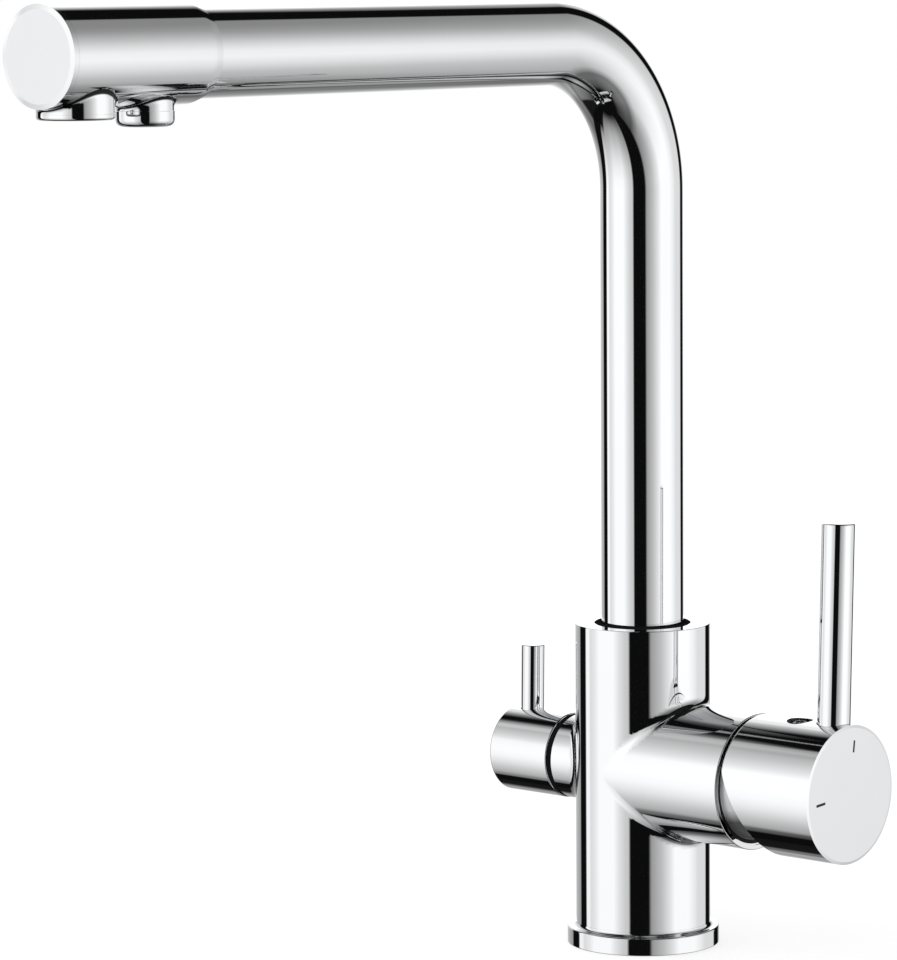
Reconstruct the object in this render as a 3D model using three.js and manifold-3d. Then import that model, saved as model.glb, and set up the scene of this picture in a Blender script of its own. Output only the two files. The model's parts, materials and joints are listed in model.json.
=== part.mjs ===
// Three way filtered water tap: a swivelling L spout with two outlets, a single lever mixer for hot and
// cold water on one arm of the column, and a quarter turn valve for filtered water on the other.
// Millimetres, +Z up. The origin is the centre of the base's underside, on the deck.
// The spout points to -Y, the mixer arm to +X and the filter arm to -X.

import * as THREE from 'three';
import { mergeVertices } from 'three/addons/utils/BufferGeometryUtils.js';
import Module from 'manifold-3d';

const wasm = await Module();
wasm.setup();

// ------------------------------------------------------------------ driving dimensions

const gap = 0.3; // left between pieces that touch

// Spout tube, and the casting's wall around its foot, which sets the column and the mixer arm
const tubeRadius = 14;
const tubeWall = 1.5;
const socketClearance = 0.5;
const socketWall = 8.5;

// Base and column
const columnRadius = tubeRadius + socketClearance + socketWall;
const flangeRadius = 26;
const flangeHeight = 6;
const flangeEdge = 0.8;
const spigotRadius = 19;
const spigotLength = 4.3;
const gasketInner = 21;
const gasketWidth = 2.9;
const gasketHeight = 1.4;
const armHeight = 61;
const columnEdge = 1.2;
const recessRadius = 16.5;
const recessHeight = 20;
const inletRadius = 4;
const inletSpread = 6.5;
const inletOffset = 9;
const filterInletOffset = 6;
const studRadius = 3.2;
const studDepth = 12;
const studOffset = 7;
const studSpread = 10;

// Spout socket in the column
const socketFloorAboveArm = 22.5;
const socketDepth = 27.5;
const glideRingHeight = 3.2;
const glideRingWidth = 2.4;
const spoutScrewRadius = 2.2;
const spoutScrewTip = 1.5;
const spoutScrewRecess = 1.2;

// Spout
const bendRadius = 50;
const spoutHeight = 308;
const spoutReach = 275.4;
const tubeInColumn = 8.5;
const insertPlug = 14;
const insertBore = 9;
const insertFloorGap = 1.2;
const oRingSection = 1.2;

// Outlet sleeve, its end cap and its two outlets
const sleeveRadius = tubeRadius + 1.5;
const sleeveLength = 62.4;
const sleeveShoulder = 4;
const sleeveSocket = 8.7;
const sleeveBore = tubeRadius - 1.1;
const capThickness = 2;
const capEdge = 1.5;
const capPlugRadius = 9;
const capPlugLength = 5.8;
const capRingSection = 0.8;
const aeratorRadius = 11.7;
const aeratorFromFace = 14.7;
const aeratorDrop = sleeveRadius + 3.3;
const aeratorBossDrop = aeratorDrop - 1.8;
const aeratorThread = 9.8;
const aeratorTop = aeratorDrop - 8;
const aeratorWall = 1.4;
const aeratorLip = 1.1;
const aeratorInsertHeight = 5;
const aeratorHole = 1.4;
const nozzleFromFace = 43.2;
const nozzleRadius = 8.9;
const nozzleNeck = 8.1;
const nozzleDrop = sleeveRadius + 6.1;
const nozzleRound = 2.1;
const nozzleBossRadius = 8.6;
const nozzleBossDrop = sleeveRadius + 0.5;
const nozzleStub = 6;
const nozzleStubTop = 8;
const nozzleBore = 3.5;
const nozzleMouth = 6.4;
const nozzleMouthDepth = 3.4;
const nozzleHole = 1;
const hoseRadius = 4;
const hoseWall = 1.4;
const elbowRadius = 4.6;
const elbowBore = 1.6;
const nippleLength = 12;

// Mixer arm and its cartridge, from the arm's mouth inwards
const armRadius = columnRadius;
const armEnd = 50.6;
const armEdge = 1;
const mouthRadius = armRadius - 2.4;
const mouthDepth = 5.1;
const chamberRadius = 17.9;
const nutThickness = 3.4;
const nutNotch = 3;
const casingLength = 19;
const casingWall = 1.8;
const casingFloor = 2;
const casingLid = 2;
const sealThickness = 1.6;
const fixedDiscThickness = 3.5;
const movingDiscThickness = 3;
const movingDiscRadius = 11.6;
const carrierThickness = 3;
const rotorFlange = 4;
const rotorHubRadius = 10.8;
const rotorHubLength = 6.6;
const portRadius = 2.8;
const portSpread = 6.5;
const portDrop = 5.5;
const mixedPortRadius = 3.2;
const mixedPortRise = 6.5;

// Mixer handle
const mixerTurn = 1.9; // degrees that the lever leans back from upright at rest
const flowTilt = 25; // degrees from shut to full flow
const handleRadius = armRadius + 0.2;
const handleWall = 2;
const handleFaceWall = 3;
const handleHub = 9;
const handleRib = 16;
const handleGap = 1.2;
const handleLength = 36.9;
const handleEdge = 0.9;
const handleMouthEdge = 1.2;
const skirtAngle = 24.5; // degrees that the cut-away leans from the arm's mouth
const skirtGap = 3.2; // width of the cut-away at the height of the arm's axis
const pivotFromMouth = 4.6;
const stemSide = 8;
const stemBall = 3.6;
const stemDrive = 7.8; // from the pivot to the middle of the ball
const stemRelief = 1.4; // from the foot of the carrier to the flat on the ball
const stemInHandle = 14.1;
const pinRadius = 1.5;
const domeRadius = mouthRadius - 1.8;
const domeWall = 1.2;
const domeFootRadius = domeRadius + 0.6;
const domeOpening = 41; // degrees from the arm's axis to the dome's rim
const leverRadius = 5.5;
const leverLength = 66.3;
const leverFromFace = 7.4;
const leverEdge = 0.7;
const leverSeat = 2.5;
const leverStub = 3;
const leverStubLength = 8;
const handleHubGap = 1.4; // between the dome and the hub's face
const handleScrewFromHub = 2.9;
const handleScrewRadius = 2.7;
const handleScrewRecess = 4;
const handleScrewDepth = 2.2;
const tickLength = 4;
const tickWidth = 0.9;
const tickDepth = 0.3;
const tickRadius = 16;
const upperTickAngle = -5.4;
const frontTickAngle = 96;

// Filter arm, its valve and its handle
const neckRadius = 14.5;
const neckEnd = 29.3;
const neckEdge = 1;
const valveRadius = 10.2;
const valveFloor = 12;
const valveWall = 1.4;
const washerThickness = 1.5;
const washerHole = 4;
const filterDiscThickness = 2.5;
const spindleFlange = 2.8;
const spindleRadius = 4;
const filterPort = 2;
const filterPortOffset = 4.2;
const filterTurn = 1.1; // degrees that the lever leans back from upright at rest
const filterRingGap = 2.2;
const filterRingRadius = 13.2;
const filterHandleRadius = 14.7;
const filterHandleLength = 25.8;
const filterHandleEdge = 0.9;
const filterHandleMouthEdge = 1;
const filterHandleCup = 5.7;
const filterHandleWall = 2.5;
const spindleInHandle = 20.5;
const filterLeverRadius = 4;
const filterLeverLength = 22.2;
const filterLeverFromFace = 7.1;
const filterLeverEdge = 0.5;
const filterLeverSeat = 2.7;
const filterLeverStub = 2.2;
const filterScrewFromNeck = 12.7;
const filterScrewRadius = 2;
const filterScrewRecess = 1.2;

// Sides of round pieces
const fineSides = 26;
const sides = 20;
const coarseSides = 10;
const boreSides = 8;
const arcSteps = 2;
const bendSteps = 8;

// Places that follow from the sizes above
const columnFoot = flangeHeight + gap;
const spigotBottom = columnFoot - spigotLength;
const recessTop = spigotBottom + recessHeight;
const socketFloor = armHeight + socketFloorAboveArm;
const columnTop = socketFloor + socketDepth;
const socketRadius = tubeRadius + socketClearance;
const tubeBore = tubeRadius - tubeWall;
const tubeFoot = columnTop - tubeInColumn;
const insertBottom = socketFloor + insertFloorGap;
const insertShoulder = tubeFoot - gap;
const nutBottom = armEnd - mouthDepth;
const casingTop = nutBottom - gap;
const casingBottom = casingTop - casingLength;
const chamberFloor = casingBottom - 2 * gap - sealThickness;
const pivotX = armEnd - pivotFromMouth;
const handleStart = armEnd + handleGap;
const handleEnd = handleStart + handleLength;
const leverX = handleEnd - leverFromFace;
const handleHubFace = pivotX + domeRadius + handleHubGap;
const handleScrewX = handleHubFace + handleScrewFromHub;
const sleeveStart = spoutReach - sleeveLength;
const sleeveFace = spoutReach - capThickness - gap;
const tubeEnd = sleeveStart + sleeveSocket - gap;
const aeratorY = spoutReach - aeratorFromFace;
const nozzleY = spoutReach - nozzleFromFace;
const valveBore = valveRadius + gap;
const valveEnd = neckEnd - gap;
const filterHandleStart = neckEnd + filterRingGap;
const filterHandleEnd = filterHandleStart + filterHandleLength;
const filterLeverX = filterHandleEnd - filterLeverFromFace;
const filterScrewX = neckEnd + filterScrewFromNeck;

// ------------------------------------------------------------------ materials

function material(color, metalness, roughness) {
  return new THREE.MeshStandardMaterial({ color, metalness, roughness });
}

const chrome = material(0xd9dbdd, 1, 0.06);
const brass = material(0xc2a052, 1, 0.35);
const steel = material(0x8d9094, 1, 0.3);
const rubber = material(0x17181a, 0, 0.8);
const blackPlastic = material(0x1d1e20, 0, 0.5);
const whitePlastic = material(0xe8e8e4, 0, 0.5);
const ceramic = material(0xf1efe8, 0, 0.25);
const hosePlastic = material(0xcfd8dc, 0, 0.4);

// ------------------------------------------------------------------ geometry helpers

const radians = THREE.MathUtils.degToRad;

/** Six times the volume that the triangles enclose; negative when they face inwards. */
function signedVolume(position, index) {
  const [a, b, c] = [new THREE.Vector3(), new THREE.Vector3(), new THREE.Vector3()];
  let total = 0;
  for (let i = 0; i < index.length; i += 3) {
    a.fromBufferAttribute(position, index[i]);
    b.fromBufferAttribute(position, index[i + 1]);
    c.fromBufferAttribute(position, index[i + 2]);
    total += a.dot(b.cross(c));
  }
  return total;
}

/** Joins equal corners, drops empty triangles and turns the faces outwards. */
function weld(source) {
  source.deleteAttribute('normal');
  source.deleteAttribute('uv');
  const geometry = mergeVertices(source, 1e-4);
  const kept = [];
  const index = geometry.index.array;
  for (let i = 0; i < index.length; i += 3) {
    const [a, b, c] = [index[i], index[i + 1], index[i + 2]];
    if (a !== b && b !== c && c !== a) kept.push(a, b, c);
  }
  if (signedVolume(geometry.attributes.position, kept) < 0) kept.reverse();
  geometry.setIndex(kept);
  return geometry;
}

function toSolid(geometry) {
  const vertProperties = new Float32Array(geometry.attributes.position.array);
  const triVerts = new Uint32Array(geometry.index.array);
  return new wasm.Manifold(new wasm.Mesh({ numProp: 3, vertProperties, triVerts }));
}

function toGeometry(solid) {
  const { vertProperties, triVerts } = solid.getMesh();
  const geometry = new THREE.BufferGeometry();
  geometry.setAttribute('position', new THREE.BufferAttribute(vertProperties, 3));
  geometry.setIndex(new THREE.BufferAttribute(triVerts, 1));
  return geometry;
}

function join(...geometries) {
  return toGeometry(geometries.map(toSolid).reduce((whole, next) => whole.add(next)));
}

function cut(geometry, ...tools) {
  return toGeometry(tools.map(toSolid).reduce((rest, tool) => rest.subtract(tool), toSolid(geometry)));
}

/** Points of an outline with corners [radius, height, round]; a corner with a round becomes an arc. */
function outline(corners) {
  const at = (i) => {
    const [radius, height] = corners[(i + corners.length) % corners.length];
    return new THREE.Vector2(radius, height);
  };
  return corners.flatMap(([, , round = 0], i) => {
    const corner = at(i);
    if (round === 0) return [corner];
    const back = at(i - 1).sub(corner).normalize();
    const on = at(i + 1).sub(corner).normalize();
    const half = Math.acos(back.dot(on)) / 2;
    const centre = back.clone().add(on).setLength(round / Math.sin(half)).add(corner);
    const reach = round / Math.tan(half);
    const start = corner.clone().addScaledVector(back, reach).sub(centre);
    const end = corner.clone().addScaledVector(on, reach).sub(centre);
    const sweep = Math.atan2(start.cross(end), start.dot(end));
    const origin = new THREE.Vector2();
    return Array.from({ length: arcSteps + 1 }, (_, k) =>
      start.clone().rotateAround(origin, (sweep * k) / arcSteps).add(centre));
  });
}

/** Solid of revolution about Z. The outline starts and ends on the axis, or closes on itself. */
function revolve(corners, count = sides) {
  const points = outline(corners);
  const onAxis = points[0].x === 0 && points.at(-1).x === 0;
  if (!onAxis) points.push(points[0].clone());
  return weld(new THREE.LatheGeometry(points, count).rotateX(Math.PI / 2));
}

function alongX(geometry) {
  return geometry.rotateY(Math.PI / 2);
}

function alongMinusX(geometry) {
  return geometry.rotateY(-Math.PI / 2);
}

function alongY(geometry) {
  return geometry.rotateX(-Math.PI / 2);
}

function alongMinusY(geometry) {
  return geometry.rotateX(Math.PI / 2);
}

function rod(radius, from, to, count = sides) {
  return revolve([[0, from], [radius, from], [radius, to], [0, to]], count);
}

function ring(inner, outer, from, to, count = sides) {
  return revolve([[inner, from], [outer, from], [outer, to], [inner, to]], count);
}

function ball(radius) {
  return weld(new THREE.SphereGeometry(radius, coarseSides, 6));
}

function block(x, y, z) {
  return weld(new THREE.BoxGeometry(x, y, z));
}

/** Round seal about Z with the given outer radius and section. */
function oRing(outerRadius, section, height) {
  return weld(new THREE.TorusGeometry(outerRadius - section, section, 5, sides)).translate(0, 0, height);
}

/** Six sided prism about Z, of the given width across its flats. */
function hexagon(acrossFlats, from, to) {
  return rod(acrossFlats / Math.sqrt(3), from, to, 6);
}

/** Set screw along +Z: a point at the bottom and a hexagon socket in the top. */
function setScrew(radius, tipRadius, tipLength, from, to) {
  const shank = revolve([
    [0, from],
    [tipRadius, from],
    [tipRadius, from + tipLength],
    [radius, from + tipLength + radius - tipRadius],
    [radius, to],
    [0, to],
  ], coarseSides);
  return cut(shank, hexagon(radius, to - radius, to + 1));
}

/** Centres of a hexagonal pattern of holes whose middles lie within a radius. */
function holePattern(pitch, withinRadius) {
  const rows = Math.ceil(withinRadius / pitch) + 1;
  const centres = [];
  for (let row = -rows; row <= rows; row += 1) {
    for (let column = -rows; column <= rows; column += 1) {
      const x = (column + (row % 2 ? 0.5 : 0)) * pitch;
      const y = row * pitch * Math.sqrt(0.75);
      if (Math.hypot(x, y) <= withinRadius) centres.push([x, y]);
    }
  }
  return centres;
}

/** Flow grid of an outlet: a short round plug with a hexagonal pattern of holes along Z. */
function flowGrid(radius, height, holeRadius, pitch) {
  const margin = radius - holeRadius - 0.8;
  const holes = holePattern(pitch, margin).map(([x, y]) =>
    rod(holeRadius, -1, height + 1, 6).translate(x, y, 0));
  return cut(rod(radius, 0, height), ...holes);
}

// ------------------------------------------------------------------ spout path

/** Stations along the spout's middle line: up the column, round the bend and out along -Y. */
function spoutStations(foot, reach) {
  const stations = [{ y: 0, z: foot, angle: 0 }];
  for (let step = 0; step <= bendSteps; step += 1) {
    const angle = (Math.PI / 2) * (step / bendSteps);
    const y = -bendRadius * (1 - Math.cos(angle));
    const z = spoutHeight - bendRadius * (1 - Math.sin(angle));
    stations.push({ y, z, angle });
  }
  stations.push({ y: -reach, z: spoutHeight, angle: Math.PI / 2 });
  return stations;
}

/** Open pipe round the stations: the skin runs along its outside and back along its bore. */
function pipe(stations, outerRadius, innerRadius, count) {
  const outside = stations.map((station) => ({ ...station, radius: outerRadius }));
  const bore = stations.map((station) => ({ ...station, radius: innerRadius })).reverse();
  const loops = [...outside, ...bore];
  const corners = loops.flatMap(({ y, z, angle, radius }) =>
    Array.from({ length: count }, (_, k) => {
      const turn = (2 * Math.PI * k) / count;
      const across = radius * Math.cos(turn);
      const out = radius * Math.sin(turn);
      return [across, y + out * Math.cos(angle), z + out * Math.sin(angle)];
    }));
  const index = loops.flatMap((_, row) => {
    const next = (row + 1) % loops.length;
    return Array.from({ length: count }, (__, k) => {
      const on = (k + 1) % count;
      const [a, b] = [row * count + k, row * count + on];
      const [c, d] = [next * count + on, next * count + k];
      return [a, b, c, a, c, d];
    }).flat();
  });
  const geometry = new THREE.BufferGeometry();
  geometry.setAttribute('position', new THREE.Float32BufferAttribute(corners.flat(), 3));
  geometry.setIndex(index);
  return weld(geometry);
}

// ------------------------------------------------------------------ base and column

function baseFlange() {
  const bore = spigotRadius + gap;
  const groove = gasketHeight + gap;
  return revolve([
    [bore, 0],
    [gasketInner - gap, 0],
    [gasketInner - gap, groove],
    [gasketInner + gasketWidth + gap, groove],
    [gasketInner + gasketWidth + gap, 0],
    [flangeRadius, 0],
    [flangeRadius, flangeHeight, flangeEdge],
    [bore, flangeHeight],
  ], fineSides);
}

function baseGasket() {
  return ring(gasketInner, gasketInner + gasketWidth, 0, gasketHeight);
}

function column() {
  return revolve([
    [0, spigotBottom],
    [spigotRadius, spigotBottom],
    [spigotRadius, columnFoot],
    [columnRadius, columnFoot],
    [columnRadius, columnTop, columnEdge],
    [0, columnTop],
  ], fineSides);
}

function arms() {
  const mixerArm = alongX(revolve([
    [0, 0],
    [armRadius, 0],
    [armRadius, armEnd, armEdge],
    [0, armEnd],
  ], fineSides));
  const filterArm = alongMinusX(revolve([
    [0, 0],
    [neckRadius, 0],
    [neckRadius, neckEnd, neckEdge],
    [0, neckEnd],
  ], sides));
  return [mixerArm, filterArm].map((arm) => arm.translate(0, 0, armHeight));
}

/** Bore that takes the foot of the spout, with a step for the glide ring in its mouth. */
function spoutSocket() {
  const step = tubeRadius + glideRingWidth + 2 * gap;
  const stepFoot = columnTop - glideRingHeight - gap;
  return revolve([
    [0, socketFloor],
    [socketRadius, socketFloor],
    [socketRadius, stepFoot],
    [step, stepFoot],
    [step, columnTop + 1],
    [0, columnTop + 1],
  ], fineSides);
}

function cartridgeChamber() {
  return alongX(revolve([
    [0, chamberFloor],
    [chamberRadius, chamberFloor],
    [chamberRadius, nutBottom - gap],
    [mouthRadius, nutBottom - gap],
    [mouthRadius, armEnd + 1],
    [0, armEnd + 1],
  ], fineSides)).translate(0, 0, armHeight);
}

/** Drilled channels of the casting: hot, cold and filtered water in, mixed and filtered water out. */
function waterways() {
  const filteredOutX = valveFloor + 7;
  const filteredOutZ = socketFloor - 4;
  const mixedX = socketRadius - mixedPortRadius - 1.3;
  const hotAndCold = [-1, 1].flatMap((side) => [
    rod(inletRadius, recessTop - 1, armHeight - portDrop, coarseSides)
      .translate(inletOffset, side * inletSpread, 0),
    alongX(rod(portRadius, inletOffset, chamberFloor + 1, boreSides))
      .translate(0, side * portSpread, armHeight - portDrop),
  ]);
  const mixed = [
    alongX(rod(mixedPortRadius, mixedX, chamberFloor + 1, boreSides))
      .translate(0, 0, armHeight + mixedPortRise),
    rod(mixedPortRadius, armHeight + mixedPortRise, socketFloor + 1, boreSides).translate(mixedX, 0, 0),
  ];
  const filtered = [
    rod(inletRadius, recessTop - 1, armHeight, coarseSides).translate(-filterInletOffset, 0, 0),
    alongMinusX(rod(washerHole - gap, filterInletOffset, valveFloor + 1, coarseSides))
      .translate(0, 0, armHeight),
    rod(filterPort, armHeight + valveRadius - 1, filteredOutZ, boreSides)
      .translate(-filteredOutX, 0, 0),
    alongMinusX(rod(filterPort, 0, filteredOutX, boreSides)).translate(0, 0, filteredOutZ),
    rod(hoseRadius, filteredOutZ, socketFloor + 1, coarseSides),
  ];
  return [...hotAndCold, ...mixed, ...filtered];
}

/** Open foot of the column with its two blind holes for the fixing studs. */
function footRecess() {
  const recess = rod(recessRadius, spigotBottom - 1, recessTop, fineSides);
  const studHoles = [-1, 1].map((side) =>
    rod(studRadius, recessTop - 1, recessTop + studDepth, boreSides)
      .translate(-studOffset, side * studSpread, 0));
  return [recess, ...studHoles];
}

const spoutScrewZ = (insertBottom + insertShoulder) / 2;

function bodyCasting() {
  const valveHole = alongMinusX(rod(valveBore, valveFloor, neckEnd + 1)).translate(0, 0, armHeight);
  const screwHole = alongY(rod(spoutScrewRadius + gap, 0, columnRadius + 1, coarseSides))
    .translate(0, 0, spoutScrewZ);
  return cut(
    join(column(), ...arms()),
    spoutSocket(),
    cartridgeChamber(),
    valveHole,
    screwHole,
    ...waterways(),
    ...footRecess(),
  );
}

/** Nipple on the swivel axis; the spout's inner hose turns on it. */
function filteredWaterConnector() {
  const hex = socketFloor + gap + 2.6;
  const shape = revolve([
    [0, socketFloor - 3.4],
    [hoseRadius - gap, socketFloor - 3.4],
    [hoseRadius - gap, socketFloor + gap + 1],
    [hoseRadius - hoseWall - gap, socketFloor + gap + 1],
    [hoseRadius - hoseWall - gap, hex + nippleLength],
    [0, hex + nippleLength],
  ], coarseSides);
  const bore = rod(1.3, socketFloor - 5, hex + nippleLength + 1, boreSides);
  return cut(join(shape, hexagon(10, socketFloor + gap, hex)), bore);
}

function glideRing() {
  const inner = tubeRadius + gap;
  return ring(inner, inner + glideRingWidth, columnTop - glideRingHeight, columnTop, fineSides);
}

function spoutGrubScrew() {
  const grooveFloor = tubeRadius - 1.6;
  const screw = setScrew(
    spoutScrewRadius,
    spoutScrewTip,
    tubeRadius - grooveFloor + socketClearance,
    grooveFloor + gap,
    columnRadius - spoutScrewRecess,
  );
  return alongY(screw).translate(0, 0, spoutScrewZ);
}

// ------------------------------------------------------------------ spout

/** Brass tail of the spout: plugs into the tube and swivels in the column's socket. */
function spoutInsert() {
  const plug = tubeBore - gap;
  const sealFloor = socketRadius - gap - 2 * oRingSection - gap;
  const sealHalf = oRingSection + gap;
  const screwHalf = spoutScrewTip + 0.4;
  const groove = (height, half, floor) => [
    [tubeRadius, height - half],
    [floor, height - half],
    [floor, height + half],
    [tubeRadius, height + half],
  ];
  return revolve([
    [insertBore, insertBottom],
    [tubeRadius, insertBottom],
    ...groove(lowerSealZ, sealHalf, sealFloor),
    ...groove(spoutScrewZ, screwHalf, tubeRadius - 1.6),
    ...groove(upperSealZ, sealHalf, sealFloor),
    [tubeRadius, insertShoulder],
    [plug, insertShoulder],
    [plug, insertShoulder + insertPlug],
    [insertBore, insertShoulder + insertPlug],
  ]);
}

const sealInset = oRingSection + 1.8;
const lowerSealZ = insertBottom + sealInset;
const upperSealZ = insertShoulder - sealInset;

function spoutSeal(height) {
  return oRing(socketRadius - gap, oRingSection, height);
}

function spoutTube() {
  return pipe(spoutStations(tubeFoot, tubeEnd), tubeRadius, tubeBore, fineSides);
}

function filteredWaterHose() {
  const foot = socketFloor + 2 * gap + 2.6;
  const end = nozzleY - elbowRadius - gap;
  return pipe(spoutStations(foot, end), hoseRadius, hoseRadius - hoseWall, boreSides);
}

/** Vertical drilling under the sleeve, given by its middle's distance from the column. */
function downHole(radius, y, from, to, count = sides) {
  return rod(radius, from, to, count).translate(0, -y, spoutHeight);
}

/** Outlet head: slides over the tube's end and carries both outlets on its underside. */
function spoutSleeve() {
  const bore = tubeRadius + gap;
  const shell = revolve([
    [bore, sleeveStart],
    [bore + 0.4, sleeveStart],
    [sleeveRadius, sleeveStart + sleeveShoulder, 6],
    [sleeveRadius, sleeveFace],
    [capPlugRadius + gap, sleeveFace],
    [capPlugRadius + gap, sleeveFace - capPlugLength],
    [sleeveBore, sleeveFace - capPlugLength],
    [sleeveBore, sleeveStart + sleeveSocket],
    [bore, sleeveStart + sleeveSocket],
  ], fineSides);
  const sleeve = alongMinusY(shell).translate(0, 0, spoutHeight);
  const bosses = cut(
    join(
      downHole(aeratorRadius, aeratorY, -aeratorBossDrop, -sleeveBore + 7, fineSides),
      downHole(nozzleBossRadius, nozzleY, -nozzleBossDrop, -sleeveBore + 4),
    ),
    alongMinusY(rod(sleeveBore + 0.5, sleeveStart, spoutReach)).translate(0, 0, spoutHeight),
  );
  return cut(
    join(sleeve, bosses),
    downHole(aeratorThread + gap, aeratorY, -spoutHeight, -aeratorTop + gap),
    downHole(nozzleStub + gap, nozzleY, -spoutHeight, -5),
  );
}

function spoutEndCap() {
  const plugEnd = sleeveFace - capPlugLength;
  const grooveMiddle = (sleeveFace + plugEnd) / 2;
  const grooveHalf = capRingSection + gap;
  const grooveFloor = capPlugRadius - 2 * capRingSection - gap;
  const cap = revolve([
    [0, plugEnd],
    [capPlugRadius, plugEnd],
    [capPlugRadius, grooveMiddle - grooveHalf],
    [grooveFloor, grooveMiddle - grooveHalf],
    [grooveFloor, grooveMiddle + grooveHalf],
    [capPlugRadius, grooveMiddle + grooveHalf],
    [capPlugRadius, sleeveFace + gap],
    [sleeveRadius, sleeveFace + gap],
    [sleeveRadius, spoutReach, capEdge],
    [0, spoutReach],
  ], fineSides);
  return alongMinusY(cap).translate(0, 0, spoutHeight);
}

function endCapSeal() {
  const middle = sleeveFace - capPlugLength / 2;
  return alongMinusY(oRing(capPlugRadius, capRingSection, middle)).translate(0, 0, spoutHeight);
}

/** Threaded housing with a rim that carries on the boss's outline and an inner lip at its mouth. */
function aeratorHousing() {
  const bore = aeratorThread - aeratorWall;
  return revolve([
    [bore - 0.8, -aeratorDrop],
    [aeratorRadius, -aeratorDrop, 0.7],
    [aeratorRadius, -aeratorBossDrop - gap],
    [aeratorThread, -aeratorBossDrop - gap],
    [aeratorThread, -aeratorTop],
    [bore, -aeratorTop],
    [bore, -aeratorDrop + aeratorLip],
    [bore - 0.8, -aeratorDrop + aeratorLip],
  ], fineSides).translate(0, -aeratorY, spoutHeight);
}

const aeratorInsertFoot = -aeratorDrop + aeratorLip + gap;

function aeratorInsert() {
  const radius = aeratorThread - aeratorWall - gap;
  return flowGrid(radius, aeratorInsertHeight, aeratorHole, 2.5 * aeratorHole)
    .translate(0, -aeratorY, spoutHeight + aeratorInsertFoot);
}

function aeratorWasher() {
  const outer = aeratorThread - aeratorWall - gap;
  const foot = aeratorInsertFoot + aeratorInsertHeight + gap;
  return ring(outer - 2, outer, foot, -aeratorTop).translate(0, -aeratorY, spoutHeight);
}

/** Flared nozzle screwed into the sleeve's boss, with its flow grid in the mouth. */
function filterNozzle() {
  const top = -nozzleBossDrop - gap;
  const mouth = nozzleMouth + gap;
  return revolve([
    [mouth, -nozzleDrop],
    [nozzleRadius, -nozzleDrop, nozzleRound],
    [nozzleRadius, -nozzleDrop + nozzleRound + 0.6],
    [nozzleNeck, top],
    [nozzleStub, top],
    [nozzleStub, -nozzleStubTop],
    [nozzleBore, -nozzleStubTop],
    [nozzleBore, -nozzleDrop + nozzleMouthDepth],
    [mouth, -nozzleDrop + nozzleMouthDepth],
  ], sides).translate(0, -nozzleY, spoutHeight);
}

function nozzleInsert() {
  return flowGrid(nozzleMouth, nozzleMouthDepth - 2 * gap, nozzleHole, 3 * nozzleHole)
    .translate(0, -nozzleY, spoutHeight - nozzleDrop + gap);
}

/** Elbow on the nozzle's stub, with a nipple that the inner hose is pushed on. */
function nozzleElbow() {
  const drop = nozzleStubTop - gap;
  const nipple = hoseRadius - hoseWall - gap;
  const solid = join(
    rod(nozzleBore - gap, -drop - 5, -drop + 1, coarseSides),
    rod(elbowRadius, -drop, 0, coarseSides),
    ball(elbowRadius),
    alongY(rod(nipple, 0, elbowRadius + nippleLength, coarseSides)),
  );
  return cut(
    solid,
    rod(elbowBore, -drop - 6, 0, boreSides),
    alongY(rod(elbowBore, 0, elbowRadius + nippleLength + 1, boreSides)),
    ball(elbowBore + 0.2),
  ).translate(0, -nozzleY, spoutHeight);
}

// ------------------------------------------------------------------ mixer cartridge, out along X

/** Holes for the hot, cold and mixed water through a disc of the cartridge. */
function portHoles(from, to, extra = 0) {
  const hotAndCold = [-1, 1].map((side) =>
    rod(portRadius + extra, from, to, boreSides).translate(portDrop, side * portSpread, 0));
  const mixed = rod(mixedPortRadius + extra, from, to, boreSides).translate(-mixedPortRise, 0, 0);
  return [...hotAndCold, mixed];
}

function cartridgeSeal() {
  const from = chamberFloor + gap;
  const to = from + sealThickness;
  return alongX(cut(rod(chamberRadius - 0.4, from, to), ...portHoles(from - 1, to + 1)));
}

/** Base plate of the cartridge; it closes the casing and passes the three ports. */
function cartridgeBase() {
  const to = casingBottom + casingFloor;
  const plate = rod(chamberRadius - 0.4, casingBottom, to);
  return alongX(cut(plate, ...portHoles(casingBottom - 1, to + 1)));
}

function cartridgeCasing() {
  const outer = chamberRadius - 0.4;
  const inner = outer - casingWall;
  return alongX(revolve([
    [inner, casingBottom + casingFloor + gap],
    [outer, casingBottom + casingFloor + gap],
    [outer, casingTop],
    [rotorHubRadius + 0.4, casingTop],
    [rotorHubRadius + 0.4, casingTop - casingLid],
    [inner, casingTop - casingLid],
  ]));
}

const fixedDiscFoot = casingBottom + casingFloor + gap;
const movingDiscFoot = fixedDiscFoot + fixedDiscThickness + gap;
const carrierFoot = movingDiscFoot + movingDiscThickness + gap;
const rotorFoot = carrierFoot + carrierThickness + gap;
const rotorShoulder = rotorFoot + rotorFlange;
const innerRadius = chamberRadius - 0.4 - casingWall;

function fixedDisc() {
  const to = fixedDiscFoot + fixedDiscThickness;
  const disc = rod(innerRadius - gap, fixedDiscFoot, to);
  return alongX(cut(disc, ...portHoles(fixedDiscFoot - 1, to + 1, -gap)));
}

/** How far the disc slides from shut to full flow. */
const discTravel = stemDrive * Math.sin(radians(flowTilt));

/** Ceramic disc that slides over the ports; its pocket joins them when the tap is open. */
function movingDisc() {
  const disc = rod(movingDiscRadius, movingDiscFoot, movingDiscFoot + movingDiscThickness);
  const pocket = rod(movingDiscRadius - 4.2, movingDiscFoot - 1, movingDiscFoot + 1.6);
  return alongX(cut(disc, pocket)).translate(0, 0, -discTravel / 2);
}

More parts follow.
